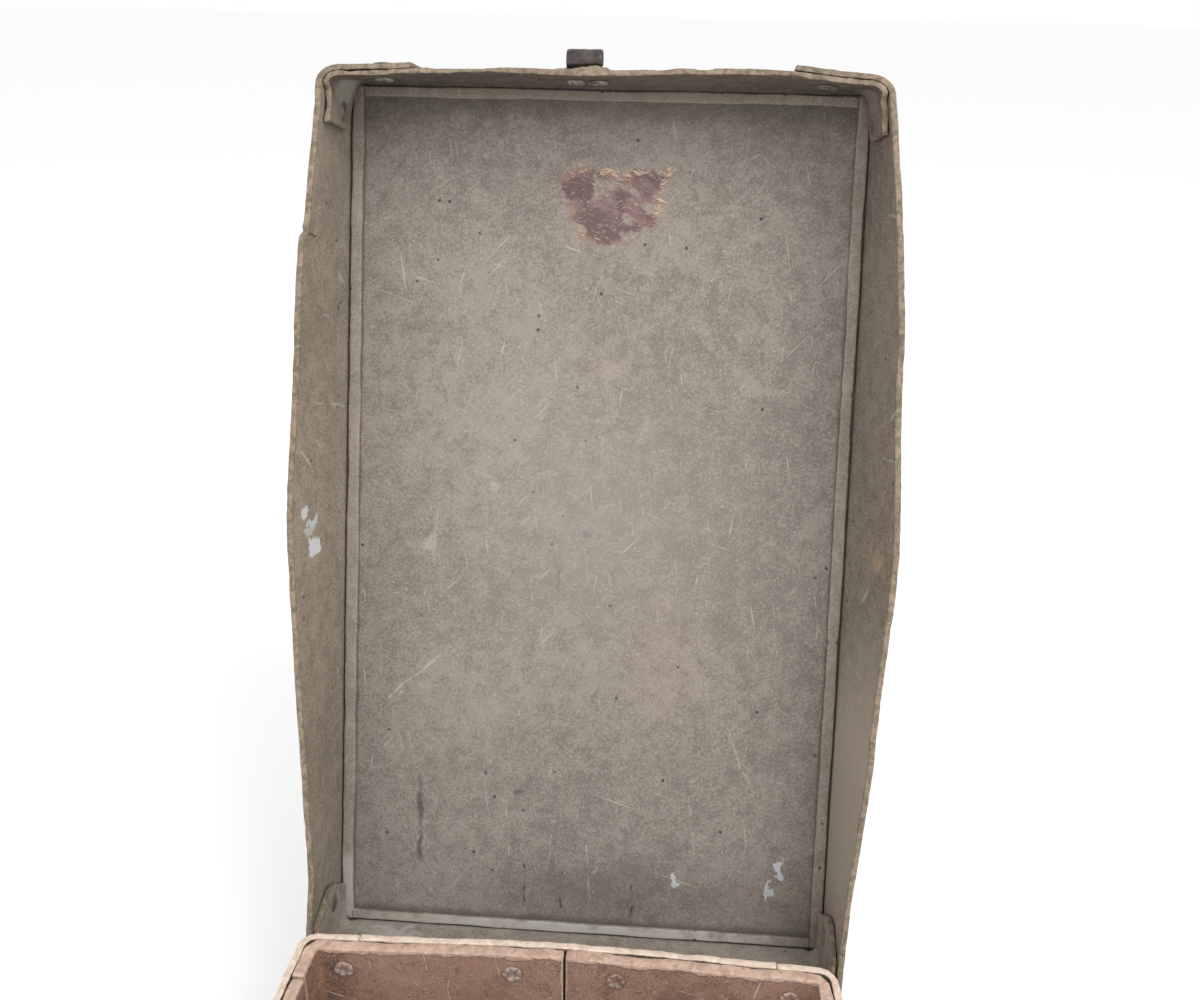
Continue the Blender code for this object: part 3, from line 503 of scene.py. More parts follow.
def board_material(name, light, dark, torn_light, torn_dark, reach, patches=(), marked=(), outside=None,
                   flecks=0.8, scratch=0.5, relief=0.00022, plain=False, shaded_border=False):
    """Fibreboard, with torn edges where the piece has marks for them, and dust in its fixed corner.

    The last option makes it darker towards its border, by the mark of that name: painted shade along its
    seams and in the walls' shadow.
    """
    material, tree, shader, at = new_material(name)
    board = use(tree, MOTTLE, Vector=at, Light=light, Dark=dark, Fleck=(0.52, 0.48, 0.41), Flecks=flecks)
    scratched = use(tree, SCRATCHES, Vector=at, Amount=scratch)["Mask"]
    colour = lines(tree, at, blots(tree, at, board["Color"], patches), marked)
    outer = attribute(tree, "outer")
    if outside is not None:
        outer_face = use(tree, MOTTLE, Vector=at, Light=outside[0], Dark=outside[1], Fleck=(0.4, 0.35, 0.28),
                         Flecks=flecks * 0.6)
        colour = blend(outer, colour, outer_face["Color"])
    colour = blend(scratched, colour, (0.5, 0.46, 0.4))
    height = minus(board["Height"], times(scratched, 0.4))
    # Painted shade: darker towards the border mark, for the shade along seams and the shadow of the walls.
    if shaded_border:
        uneven = between(noise(at, 70.0), 0.3, 0.7, 0.6, 1.4)
        border = maths("DIVIDE", attribute(tree, "border"), uneven)
        colour = blend(between(border, 1.0, 0.0, 0.0, 0.5), colour, (0.055, 0.046, 0.038))
    if not plain:
        dust = times(between(attribute(tree, "far"), 0.0045, 0.0), 0.35)
        dust = times(dust, between(noise(at, 150.0, 4.0), 0.42, 0.6))
        dust = times(dust, minus(1.0, outer))
        colour = blend(dust, colour, (0.42, 0.4, 0.35))
        nearest = maths("MINIMUM", attribute(tree, "edge"), times(attribute(tree, "end"), 2.5))
        torn = use(tree, TORN, Vector=at, Distance=nearest, Reach=reach, Light=torn_light, Dark=torn_dark)
        colour = blend(torn["Mask"], colour, torn["Color"])
        height = plus(height, times(times(torn["Mask"], torn["Height"]), 2.2))
    bump = node(tree, "Bump", {"Height": height, "Distance": relief, "Strength": 0.8})
    feed(tree, shader.inputs["Base Color"], colour)
    feed(tree, shader.inputs["Roughness"], board["Roughness"])
    feed(tree, shader.inputs["Normal"], bump.outputs[0])
    shader.inputs["Specular IOR Level"].default_value = 0.28
    return material


def steel_material(name, base, rubbed, rust, relief=0.00012, metal=0.85):
    material, tree, shader, at = new_material(name)
    steel = use(tree, STEEL, Vector=at, Base=base, Rubbed=rubbed, Rust=rust)
    feed(tree, shader.inputs["Base Color"], steel["Color"])
    feed(tree, shader.inputs["Roughness"], steel["Roughness"])
    feed(tree, shader.inputs["Metallic"], minus(metal, times(steel["Rust"], metal * 0.9)))
    bump = node(tree, "Bump", {"Height": steel["Height"], "Distance": relief, "Strength": 0.7})
    feed(tree, shader.inputs["Normal"], bump.outputs[0])
    return material


# ---- finishes ----
CREAM, TAN = (0.31, 0.245, 0.18), (0.15, 0.115, 0.082)
PINK, ROSE = (0.61, 0.44, 0.345), (0.42, 0.275, 0.21)
WHITE_PAINT, DUST, SOOT = (0.62, 0.64, 0.66), (0.46, 0.43, 0.37), (0.035, 0.03, 0.026)
OUTSIDE = ((0.17, 0.142, 0.108), (0.088, 0.072, 0.054))

panel_patches = [
    # The first patch, big, soft and pale over the panel's middle, is a painted pool of light.
    (on_panel(2, 165), (0.085, 0.06, 0.1), 0.05, 0.0, 0.35, (0.4, 0.35, 0.3)),
    (on_panel(37, 24), (0.0016, 0.004, 0.0044), 0.009, 0.75, 0.85, WHITE_PAINT),
    (on_panel(77, 30), (0.0018, 0.004, 0.0056), 0.012, 0.75, 0.75, WHITE_PAINT),
    (on_panel(73, 22), (0.0014, 0.004, 0.0036), 0.012, 0.75, 0.65, WHITE_PAINT),
    (on_panel(6, 26), (0.0012, 0.004, 0.004), 0.012, 0.7, 0.6, DUST),
    (on_panel(-62, 152), (0.004, 0.003, 0.004), 0.004, 0.3, 0.45, DUST),
    (on_panel(-38, 175), (0.003, 0.003, 0.003), 0.004, 0.3, 0.4, DUST),
    (on_panel(4, 221), (0.006, 0.003, 0.008), 0.006, 0.2, 0.3, (0.4, 0.33, 0.25)),
    (on_panel(-25, 56), (0.0022, 0.003, 0.0014), 0.008, 0.4, 0.55, (0.07, 0.06, 0.05)),
    (on_panel(-12, 140), (0.0009, 0.003, 0.012), 0.004, 0.2, 0.25, SOOT),
    (on_panel(12, 18), (0.07, 0.02, 0.016), 0.03, 0.2, 0.3, (0.13, 0.11, 0.09)),
    (on_panel(-2, 158), (0.003, 0.003, 0.001), 0.004, 0.4, 0.4, (0.12, 0.14, 0.17)),
    (on_panel(30, 110), (0.03, 0.02, 0.06), 0.04, 0.0, 0.16, (0.36, 0.28, 0.2)),
    (on_panel(-50, 90), (0.04, 0.02, 0.05), 0.04, 0.0, 0.16, (0.42, 0.36, 0.28)),
]
BRIGHT = (0.5, 0.46, 0.4)
panel_marks = [
    (on_panel(-22.2, 26), on_panel(-21.9, 12), 0.0007, 0.85, SOOT),
    (on_panel(-7.4, 24), on_panel(-7.6, 10), 0.0005, 0.75, SOOT),
    (on_panel(20.7, 20), on_panel(20.5, 5), 0.0008, 0.85, SOOT),
    (on_panel(-64.3, 60), on_panel(-63.7, 26), 0.0012, 0.35, SOOT),
    (on_panel(-64.0, 52), on_panel(-64.2, 44), 0.0018, 0.4, SOOT),
    (on_panel(-63.9, 34), on_panel(-64.2, 28), 0.0016, 0.35, SOOT),
    (on_panel(-77.6, 90.9), on_panel(-57.5, 108.7), 0.0008, 0.6, BRIGHT),
    (on_panel(-74, 92), on_panel(-66, 97), 0.0005, 0.6, BRIGHT),
    (on_panel(66, 60), on_panel(52, 88), 0.0005, 0.45, BRIGHT),
    (on_panel(-30, 52), on_panel(-28, 30), 0.0005, 0.5, BRIGHT),
    (on_panel(2, 36), on_panel(4, 14), 0.0005, 0.45, BRIGHT),
    (on_panel(41, 60), on_panel(43, 38), 0.0004, 0.4, BRIGHT),
    (on_panel(-12, 46), on_panel(-13, 26), 0.0004, 0.4, BRIGHT),
]
LID_PANEL = board_material("lid_panel_board", (0.296, 0.256, 0.221), (0.186, 0.16, 0.137), CREAM, TAN, 0.0,
                           panel_patches, panel_marks, OUTSIDE, scratch=0.55, plain=True, shaded_border=True)
# The left wall's board is lighter than the right wall's: a lit copy of the same board, painted light.
LEFT_WALL = board_material("lid_left_board", (0.325, 0.274, 0.214), (0.2, 0.167, 0.126),
    CREAM, TAN, 0.0005, [
    (on_lid_wall(-1, 166, 8.8), (0.004, 0.0026, 0.0018), 0.007, 0.8, 0.8, WHITE_PAINT),
    (on_lid_wall(-1, 162, 14), (0.004, 0.005, 0.0014), 0.009, 0.8, 0.65, WHITE_PAINT),
    (on_lid_wall(-1, 159, 12), (0.004, 0.004, 0.0012), 0.009, 0.8, 0.45, WHITE_PAINT),
    (on_lid_wall(-1, 153, 15.2), (0.005, 0.0046, 0.0054), 0.009, 0.8, 0.92, WHITE_PAINT),
    (on_lid_wall(-1, 306, 34), (0.006, 0.004, 0.009), 0.01, 0.3, 0.55, DUST),
    (on_lid_wall(-1, 9, 24), (0.008, 0.012, 0.01), 0.009, 0.3, 0.55, DUST),
    (on_lid_wall(-1, 290, 34), (0.008, 0.006, 0.03), 0.009, 0.3, 0.25, (0.3, 0.33, 0.27)),
], [
    (on_lid_wall(-1, 264.6, 0.0), on_lid_wall(-1, 262.5, 3.0), 0.0008, 0.95, SOOT),
    (on_lid_wall(-1, 262.5, 3.0), on_lid_wall(-1, 262.8, 8.5), 0.0006, 0.8, SOOT),
    (on_lid_wall(-1, 238, 6), on_lid_wall(-1, 236, 22), 0.0005, 0.5, BRIGHT),
    (on_lid_wall(-1, 205, 13), on_lid_wall(-1, 204, 38), 0.0006, 0.45, BRIGHT),
    (on_lid_wall(-1, 120, 30), on_lid_wall(-1, 60, 33), 0.0005, 0.35, SOOT),
], outside=OUTSIDE)
# The right wall's board is darker than the left wall's: a shaded copy of the same board, painted shade.
RIGHT_WALL = board_material("lid_right_board", (0.252, 0.208, 0.166), (0.148, 0.121, 0.093),
    CREAM, TAN, 0.0005, [
    (on_lid_wall(1, 158, 13.7), (0.006, 0.011, 0.005), 0.012, 0.4, 0.6, (0.38, 0.275, 0.18)),
    (on_lid_wall(1, 65, 20), (0.04, 0.06, 0.09), 0.03, 0.3, 0.8, (0.42, 0.36, 0.3)),
    (on_lid_wall(1, 12, 24), (0.008, 0.01, 0.01), 0.009, 0.3, 0.45, DUST),
], outside=OUTSIDE)
# The hinge wall's lighter board is partly dust and partly painted light on this upward-facing wall.
HINGE_WALL = board_material("lid_hinge_board", (0.375, 0.335, 0.285), (0.235, 0.205, 0.168),
    CREAM, TAN, 0.0007, [
    (on_panel(-84, 4, 0.006), (0.016, 0.01, 0.006), 0.01, 0.3, 0.6, DUST),
    (on_panel(-72, 1, 0.01), (0.016, 0.01, 0.005), 0.016, 0.4, 0.75, (0.52, 0.5, 0.46)),
    (on_lid_wall(-1, 12, 24), (0.006, 0.006, 0.008), 0.012, 0.5, 0.5, (0.46, 0.44, 0.39)),
    (on_panel(34, 1, 0.03), (0.018, 0.01, 0.003), 0.01, 0.3, 0.35, DUST),
], outside=OUTSIDE)
# The front wall's inner face is given a far darker board: painted shade for the shade on this downward-facing
# wall.
FRONT_WALL = board_material("lid_front_board", (0.15, 0.125, 0.1), (0.085, 0.068, 0.052),
    CREAM, TAN, 0.0007, [
    (on_lid_wall(-1, 308, 20), (0.006, 0.026, 0.018), 0.004, 0.6, 0.9, (0.27, 0.232, 0.185)),
    (on_lid_wall(1, 308, 20), (0.006, 0.026, 0.018), 0.004, 0.6, 0.8, (0.215, 0.18, 0.145)),
    (on_lid_wall(-1, 319, 22), (0.01, 0.018, 0.007), 0.004, 0.5, 0.85, (0.44, 0.42, 0.35)),
    (on_lid_wall(1, 319, 22), (0.01, 0.018, 0.007), 0.004, 0.5, 0.65, (0.32, 0.29, 0.235)),
    (on_lid_wall(-1, 320, 8) + (0.02, 0, 0), (0.008, 0.003, 0.003), 0.008, 0.4, 0.6, (0.4, 0.33, 0.25)),
    (on_lid_wall(1, 320, 12) - (0.016, 0, 0), (0.007, 0.003, 0.003), 0.008, 0.4, 0.5, (0.42, 0.36, 0.29)),
], outside=OUTSIDE)
# The pale patch over the hinge strip is painted light on its upward face. The dark patch over the front strip
# is painted shade from the front wall.
STRIP = board_material("lid_strip_board", (0.35, 0.303, 0.25), (0.246, 0.208, 0.166), CREAM, TAN, 0.0,
                       [(on_panel(0, 0), (0.11, 0.02, 0.008), 0.012, 0.4, 0.85, (0.54, 0.515, 0.475)),
                        (on_panel(-93, 14), (0.008, 0.02, 0.018), 0.016, 0.4, 0.75, (0.54, 0.52, 0.48)),
                        (on_panel(0, 325), (0.11, 0.02, 0.01), 0.006, 0.4, 0.55, (0.21, 0.165, 0.122))],
                       plain=True, shaded_border=True)
BODY_OUTER = board_material("body_outer_board", *OUTSIDE, (0.76, 0.64, 0.53), (0.58, 0.45, 0.36), 0.0007)
LINER_RED = board_material("liner_board", (0.335, 0.202, 0.145), (0.155, 0.09, 0.065), PINK, ROSE, 0.0017, [
    (Vector((-0.062, 0.148, 0.082)), (0.016, 0.01, 0.02), 0.03, 0.2, 0.4, (0.4, 0.27, 0.2)),
    (Vector((0.04, 0.148, 0.08)), (0.024, 0.01, 0.012), 0.03, 0.2, 0.4, (0.13, 0.078, 0.06)),
    (Vector((-0.026, 0.148, 0.076)), (0.02, 0.01, 0.012), 0.03, 0.2, 0.35, (0.13, 0.078, 0.06)),
    (Vector((-0.0836, 0.148, 0.08)), (0.0024, 0.02, 0.03), 0.006, 0.2, 0.3, (0.38, 0.17, 0.09)),
], flecks=1.0, scratch=1.0, relief=0.0003)
PLAIN_BOARD = board_material("packing_board", *OUTSIDE, CREAM, TAN, 0.0, plain=True)
BASE_FINISH = board_material("base_board_grey", (0.255, 0.195, 0.155), (0.14, 0.105, 0.082), CREAM, TAN, 0.0,
                             flecks=0.6, plain=True)
RIVET_STEEL = steel_material("rivet_steel", (0.12, 0.104, 0.084), (0.36, 0.33, 0.285), 0.55, metal=0.35)
LINER_RIVET = steel_material("liner_rivet_steel", (0.235, 0.15, 0.118), (0.44, 0.34, 0.29), 0.35, metal=0.25)
LATCH_STEEL = steel_material("latch_steel", (0.06, 0.052, 0.05), (0.125, 0.112, 0.108), 0.35)
HINGE_STEEL = steel_material("hinge_steel", (0.085, 0.078, 0.074), (0.21, 0.195, 0.18), 0.55)


# ---- lid ----
def long_wall(side, name, material):
    """A long wall and its ends, turned round the outside of both short walls."""
    inner_x, end_x = side * LID_WIDTH / 2, side * (LID_WIDTH / 2 - LID_WRAP)
    front, back = FRONT_INNER - LID_BOARD - GAP, BACK_OUTER + GAP
    corners = [(end_x, front), (inner_x, front), (inner_x, back), (end_x, back)]
    line = plan_line(corners if side > 0 else corners[::-1], LID_CORNER, 0.0016)
    edge = np.zeros(len(line[2]))
    if side < 0:
        tear = BACK_INNER - line[0][:, 1]
        notch = eased(tear, 0.2618, 0.2634) * eased(tear, 0.265, 0.2642) * (line[0][:, 0] < -0.09)
        edge = edge + 0.0018 * notch
    stood_board(name, line, edge, LID_DEPTH + LID_BOARD - ROOT_TRIM, LID_BOARD, bend_lid, 40 + side, material,
                torn=0.0002, peel=0.08, after=open_lid, body="lid")


def short_wall(name, inner_y, outward, tab, pointed, seed, material):
    """A short wall and its ends, turned round the inside of both long walls as tabs."""
    inner_x = LID_WIDTH / 2 - GAP - LID_BOARD
    end_y = inner_y - outward * tab
    corners = [(-inner_x, end_y), (-inner_x, inner_y), (inner_x, inner_y), (inner_x, end_y)]
    line = plan_line(corners if outward < 0 else corners[::-1], LID_CORNER - GAP - LID_BOARD, 0.0012)
    ends = np.minimum(line[2], line[2][-1] - line[2])
    top = LID_DEPTH - STRIP_THICKNESS - 2 * GAP
    on_tab = eased(ends, tab - 0.003, tab - 0.0045)
    nose = np.clip(1 - ends / 0.0075, 0, 1) * on_tab * pointed
    taper = (1 - ends / tab) * on_tab * (1 - pointed)
    edge = TAB_SETBACK * on_tab * (1 - 0.6 * pointed) + nose * 0.012
    root = top + 0.0021 * (1 - eased(ends, tab + 0.0035, tab + 0.0015)) - nose * 0.018 - taper * 0.012

    def fray_and_open(points):
        """Lifts the fibres of the front rim's outer ply into a hump over the latch's roll."""
        x, y, z = np.moveaxis(points, -1, 0)
        outer_half = np.arange(points.shape[1]) >= points.shape[1] // 2
        hump = np.exp(-((x - LATCH_X - 0.001) / 0.0085) ** 4)
        hump = hump * (1 + 0.35 * rough(x / 0.0024, z / 0.0008, 517, 3))
        hump = hump * np.exp(-(np.maximum(z, 0) / 0.0011) ** 2) * outer_half * (outward < 0)
        return open_lid(np.stack([x, y - 0.0015 * hump, z], -1))

    stood_board(name, line, edge, root, LID_BOARD, bend_lid, seed, material, after=fray_and_open, body="lid")


def panel_relief(x, y):
    """How far the panel's inner face has warped inwards, fading out under the strips, with fine grain."""
    back, front = BACK_OUTER, FRONT_INNER - LID_BOARD
    from_side = LID_WIDTH / 2 - np.abs(x)
    fade = eased(from_side, 0.004, 0.011) * eased(np.minimum(back - y, y - front), 0.004, 0.012)
    warp, grain = rough(x / 0.045, y / 0.045, 77, 3), rough(x / 0.004, y / 0.004, 78, 2)
    return (warp * 0.00028 + grain * 0.00004) * fade


def panel():
    """The flat panel: rings across it, down the inner face and back up the outer one, gently dished."""
    half, back, front = LID_WIDTH / 2 - 0.00005, BACK_OUTER, FRONT_INNER - LID_BOARD
    y = np.linspace(back, front, 210)
    corner = LID_CORNER - GAP
    near_end = np.clip(corner - np.minimum(back - y, y - front), 0, corner)
    reach = half - (corner - np.sqrt(np.maximum(corner**2 - near_end**2, 0)))
    even = np.linspace(-1, 1, 130)
    across = 0.6 * even + 0.4 * np.sin(even * np.pi / 2)
    x = reach[:, None] * across[None, :]
    rows = np.broadcast_to(y[:, None], x.shape)
    relief = panel_relief(x, rows)
    cracks = sum(np.exp(-((x - at) / 0.0007) ** 2) * np.exp(-((BACK_INNER - rows - run) / size) ** 4) * depth
                 for at, run, size, depth in PANEL_CRACKS)
    inner = LID_DEPTH + relief + cracks
    outer = LID_DEPTH + LID_BOARD + np.minimum(relief, 0)
    rings = np.concatenate([np.stack([x, rows, inner], -1), np.stack([x, rows, outer], -1)[:, ::-1]], axis=1)
    # The border mark is the distance from the strips, for painted shade beside them. It reaches furthest at
    # the front end, in the front wall's shadow.
    inset = STRIP_SEAM + STRIP_WIDTH
    sides = (reach[:, None] - np.abs(x) - inset) / 0.0016
    inset = inset + LID_BOARD
    ends = np.minimum((back - rows - inset) / 0.003, (rows - front - inset) / 0.011)
    border = np.minimum(sides, ends)
    outer = np.concatenate([border * 0, border * 0 + 1], axis=1)
    border = np.concatenate([border, border * 0 + 1], axis=1)
    skin("lid_panel_board", open_lid(rings), LID_PANEL, "lid", ("lid_panel",),
         {"border": border, "outer": outer})


def strip(name, start, end, inward, seed, splits=(), wider=0.0):
    """A flat strip laid on the panel: a rounded section carried along a line, with a few cross splits."""
    start, end = np.array(start), np.array(end)
    length = np.linalg.norm(end - start)
    at = np.linspace(0, 1, int(length / 0.0009))
    turn = (np.arange(28) + 0.5) / 28 * 2 * np.pi
    power = 0.45
    wide = np.sign(np.cos(turn)) * np.abs(np.cos(turn)) ** power
    high = np.sign(np.sin(turn)) * np.abs(np.sin(turn)) ** power
    worn = 0.96 + 0.1 * rough(at * length / 0.012, at * 0, seed, 4)
    split = sum(np.exp(-((at * length - place) / 0.00035) ** 2) for place in splits)
    drift = wider / 2 + rough(at * length / 0.03, at * 0, seed + 3, 2) * 0.00018
    middle = start + (end - start) * at[:, None] + np.array(inward) * drift[:, None]
    half_wide = (STRIP_WIDTH + wider) / 2 * np.minimum(worn, 1.0) * (1 - 0.3 * split)
    thinned = 0.97 - 0.06 * np.abs(rough(at * length / 0.007, at * 0, seed + 7, 3))
    half_high = STRIP_THICKNESS / 2 * thinned * (1 - 0.35 * split)
    plan = middle[:, None, :] + np.array(inward) * (wide[None, :] * half_wide[:, None])[..., None]
    base = LID_DEPTH - GAP * 0.3
    z = base - half_high[:, None] + half_high[:, None] * high[None, :]
    rings = np.concatenate([plan, z[..., None]], -1)
    # The border mark falls towards the strip's long edges, for painted shade along its seams.
    border = (1 - np.abs(wide))[None, :] * half_wide[:, None] / 0.0005 + 0.25
    skin(name + "_worn", open_lid(rings), STRIP, "lid", (name,), {"border": border})


def strips():
    half = LID_WIDTH / 2 - STRIP_SEAM
    back, front = BACK_INNER - STRIP_SEAM, FRONT_INNER + STRIP_SEAM
    middle, inner = half - STRIP_WIDTH / 2, half - STRIP_WIDTH
    strip("lid_strip_left", (-middle, back), (-middle, front), (1, 0), 201, (0.247,), 0.0007)
    strip("lid_strip_right", (middle, back), (middle, front), (-1, 0), 211, (0.214, 0.121), 0.0005)
    strip("lid_strip_hinge", (-inner + GAP, back - STRIP_WIDTH / 2), (inner - GAP, back - STRIP_WIDTH / 2),
          (0, -1), 221, (0.061, 0.136))
    strip("lid_strip_front", (-inner + GAP, front + STRIP_WIDTH / 2), (inner - GAP, front + STRIP_WIDTH / 2),
          (0, 1), 231, (0.088, 0.131, 0.154))


def label_remnant():
    """What is left of a torn paper label: a thin sheet whose height dips under the panel where it is gone."""
    x, run = np.meshgrid(np.linspace(-0.0225, 0.03, 200), np.linspace(0.262, 0.2995, 160), indexing="ij")
    angle = np.degrees(np.arctan2(run - 0.281, x - 0.003))
    keys, reaches = np.array(LABEL_REACH).T
    away = np.hypot(run - 0.281, x - 0.003) / (np.interp(angle, keys, reaches, period=360) / 1000)
    ragged = rough(x / 0.004, run / 0.003, 301, 4) + rough(x / 0.0012, run / 0.0004, 303, 3)
    inside = 1 - away + ragged * 0.07
    present = eased(inside, -0.02, 0.04)
    fibres = rough(x / 0.0026, run / 0.0005 + x / 0.0016, 307, 3)
    rim = eased(inside, 0.3, 0.04) * eased(angle, -60, 40) * eased(angle, 165, 120)
    torn = eased(rough(x / 0.0085, run / 0.0045 + x / 0.02, 333, 3), 0.22, 0.6)
    lift = -0.00012 + present * (0.0002 + 0.00008 * fibres)
    ground = LID_DEPTH + panel_relief(x, BACK_INNER - run)
    top = np.stack([x, BACK_INNER - run, ground - lift], -1)
    under = np.stack([x, BACK_INNER - run, ground + 0.001], -1)
    marks = {key: np.concatenate([values, values[:, ::-1]], 1)
             for key, values in (("torn", torn), ("frayed", rim), ("depth", inside))}
    material, tree, shader, at = new_material("label_paper")
    broad = noise(at, 130.0, 4.0, 0.6)
    ink = blend(between(broad, 0.4, 0.6), (0.225, 0.14, 0.135),
                (0.13, 0.078, 0.08))
    board = blend(between(noise(at, 800.0, 3.0), 0.4, 0.6), (0.24, 0.2, 0.165),
                  (0.34, 0.29, 0.235))
    bare = times(attribute(tree, "torn"), 0.85)
    colour = blend(bare, ink, board)
    orange = between(plus(attribute(tree, "depth"), times(broad, 0.5)), 0.42, 0.25)
    colour = blend(times(orange, 0.55), colour, (0.36, 0.215, 0.135))
    threads = noise(stretched(at, (0.0, 0.35, 0.0), (260.0, 900.0, 2300.0)), 1.0, 3.0, 0.6, 0.9)
    cross = noise(stretched(at, (0.0, -0.6, 0.0), (330.0, 900.0, 2600.0)), 1.0, 3.0, 0.6, 0.9)
    cut = minus(0.6, times(attribute(tree, "frayed"), 0.11))
    strands = times(minus(maths("MAXIMUM", threads, cross), cut), 14.0, clamp=True)
    colour = blend(times(strands, 0.85), colour, (0.62, 0.49, 0.36))
    bump = node(tree, "Bump", {"Height": plus(broad, strands), "Distance": 0.0002, "Strength": 0.7})
    feed(tree, shader.inputs["Base Color"], colour)
    feed(tree, shader.inputs["Normal"], bump.outputs[0])
    shader.inputs["Roughness"].default_value = 0.72
    rings = np.concatenate([top, under[:, ::-1]], axis=1)
    skin("label_remnant", open_lid(rings), material, "lid", (), marks)


# ---- rivets and steel ----
def clinch(name, inner, outward, thickness, body, seed, finish=lambda p: p, material=None, rise=RIVET_RISE):
    """A tubular rivet: a turned profile whose clinched end has split into a ragged ring of petals.

    The first parameter runs down the profile, from the clinch's dimple over its ring, along the shank
    and over the domed head. The second is the angle about the rivet's axis.
    """
    angle = np.linspace(0, 2 * np.pi, 49)[:-1] + 0.03
    shank, head = RIVET_SHANK, RIVET_HEAD
    bowl = np.linspace(0, 1, 9)
    ring = np.linspace(0, np.pi, 12)
    dome = np.linspace(0, 1, 9)
    radius = np.concatenate([
        shank * 0.95 * bowl + 1e-5, (head + shank) / 2 - (head - shank) / 2 * np.cos(ring), [shank, shank],
        head * np.sin(np.linspace(np.pi / 2 - 0.05, 0.002, 9))])
    height = np.concatenate([
        -rise * 0.35 * (1 + bowl**3), -rise * (0.3 + 0.7 * np.sin(ring)) + rise * 0.3 * (ring > 2.9),
        [GAP, thickness + GAP], thickness + 0.0001 + rise * 0.3 * np.sin(dome * np.pi / 2)])
    petals = np.abs(np.cos(angle * 3 + seed)) ** 14
    on_ring = np.concatenate([np.zeros(9), np.sin(ring), np.zeros(11)])
    wobble = 1 + on_ring[:, None] * (0.05 * np.sin(angle * 2 + seed) + 0.035 * np.sin(angle * 5 + 2 * seed))
    radii = radius[:, None] * wobble
    heights = height[:, None] + on_ring[:, None] * petals[None, :] * rise * 0.55
    axis = np.array(outward, float) / np.linalg.norm(outward)
    side = np.cross(axis, (0.31, 0.42, 0.85))
    side /= np.linalg.norm(side)
    other = np.cross(axis, side)
    spoke = np.cos(angle)[:, None] * side + np.sin(angle)[:, None] * other
    points = np.array(inner) + radii[..., None] * spoke + heights[..., None] * axis
    skin(name + "_clinched", finish(points), material or RIVET_STEEL, body, (name,))


def outward_at(seat, run):
    """A lid wall's outward direction at a seat, from two small steps on the bent wall."""
    here = bend_lid(seat)
    along = bend_lid(seat + np.array(run) * 1e-4) - here
    up = bend_lid(seat + np.array((0, 0, 1e-4))) - here
    normal = np.cross(along, up)
    return here, normal / np.linalg.norm(normal)


def lid_rivets():
    tab_inner = LID_WIDTH / 2 - GAP - LID_BOARD
    end_y = BODY_LENGTH / 2 - WALL_TOTAL
    seed = 0
    for end, inner_y, towards, tab in (("hinge", BACK_INNER, -1, HINGE_TAB),
                                       ("front", FRONT_INNER, 1, FRONT_TAB)):
        on_tab = inner_y + towards * tab * TAB_RIVET_SHARE, LID_DEPTH * TAB_RIVET_HEIGHT
        for side, place in SIDES:
            wrap_x = side * (LID_WIDTH / 2 - LID_WRAP * WRAP_RIVET_SHARE)
            for kind, seat, run, rise in (
                    ("corner", (side * tab_inner, *on_tab), (0, side, 0), CORNER_RIVET_RISE),
                    ("wrap", (wrap_x, inner_y, LID_DEPTH * WRAP_RIVET_HEIGHT), (towards, 0, 0), RIVET_RISE)):
                seed += 1
                inner, outward = outward_at(np.array(seat), run)
                clinch(f"lid_{kind}_rivet_{end}_{place}", inner, outward, 2 * LID_BOARD + GAP, "lid", seed,
                       open_lid, rise=rise)
    for side, place in SIDES:
        seat = np.array((LATCH_X + side * KEEPER_RIVET_X, FRONT_INNER, KEEPER_RIVET_HEIGHT))
        inner, outward = outward_at(seat, (1, 0, 0))
        clinch(f"keeper_rivet_{place}", inner, outward, LID_BOARD + GAP + KEEPER_SHEET, "lid", 31 + side,
               open_lid)
        for way, mark in ((-1, "a"), (1, "b")):
            x = side * HINGE_SPACING / 2 + way * HINGE_RIVET_SPACING / 2
            clinch(f"hinge_rivet_lid_{place}_{mark}", (x, BACK_INNER, LEAF_RIVET_DROP), (0, 1, 0),
                   LID_BOARD + GAP + LEAF_SHEET, "lid", 41 + side + way, open_lid)
            clinch(f"hinge_rivet_body_{place}_{mark}", (x, end_y, AXIS_Z - LEAF_RIVET_DROP), (0, 1, 0),
                   AXIS_Y - LEAF_STAND_OFF - end_y, "body", 51 + side + way)


def body_rivets():
    end_y = BODY_LENGTH / 2 - WALL_TOTAL
    for side, place in SIDES:
        for where, (x, drop) in LINER_RIVETS.items():
            clinch(f"liner_rivet_{where}_{place}", (side * x, end_y, BODY_HEIGHT - drop), (0, 1, 0),
                   WALL_TOTAL, "body", 61 + side, material=LINER_RIVET)
    for z, place in ((CATCH_TOP - CATCH_RIVET_INSET, "top"),
                     (CATCH_TOP - CATCH_HEIGHT + CATCH_RIVET_INSET, "bottom")):
        clinch("catch_rivet_" + place, (LATCH_X, -end_y, z), (0, -1, 0), WALL_TOTAL + GAP + CATCH_SHEET,
               "body", 71)


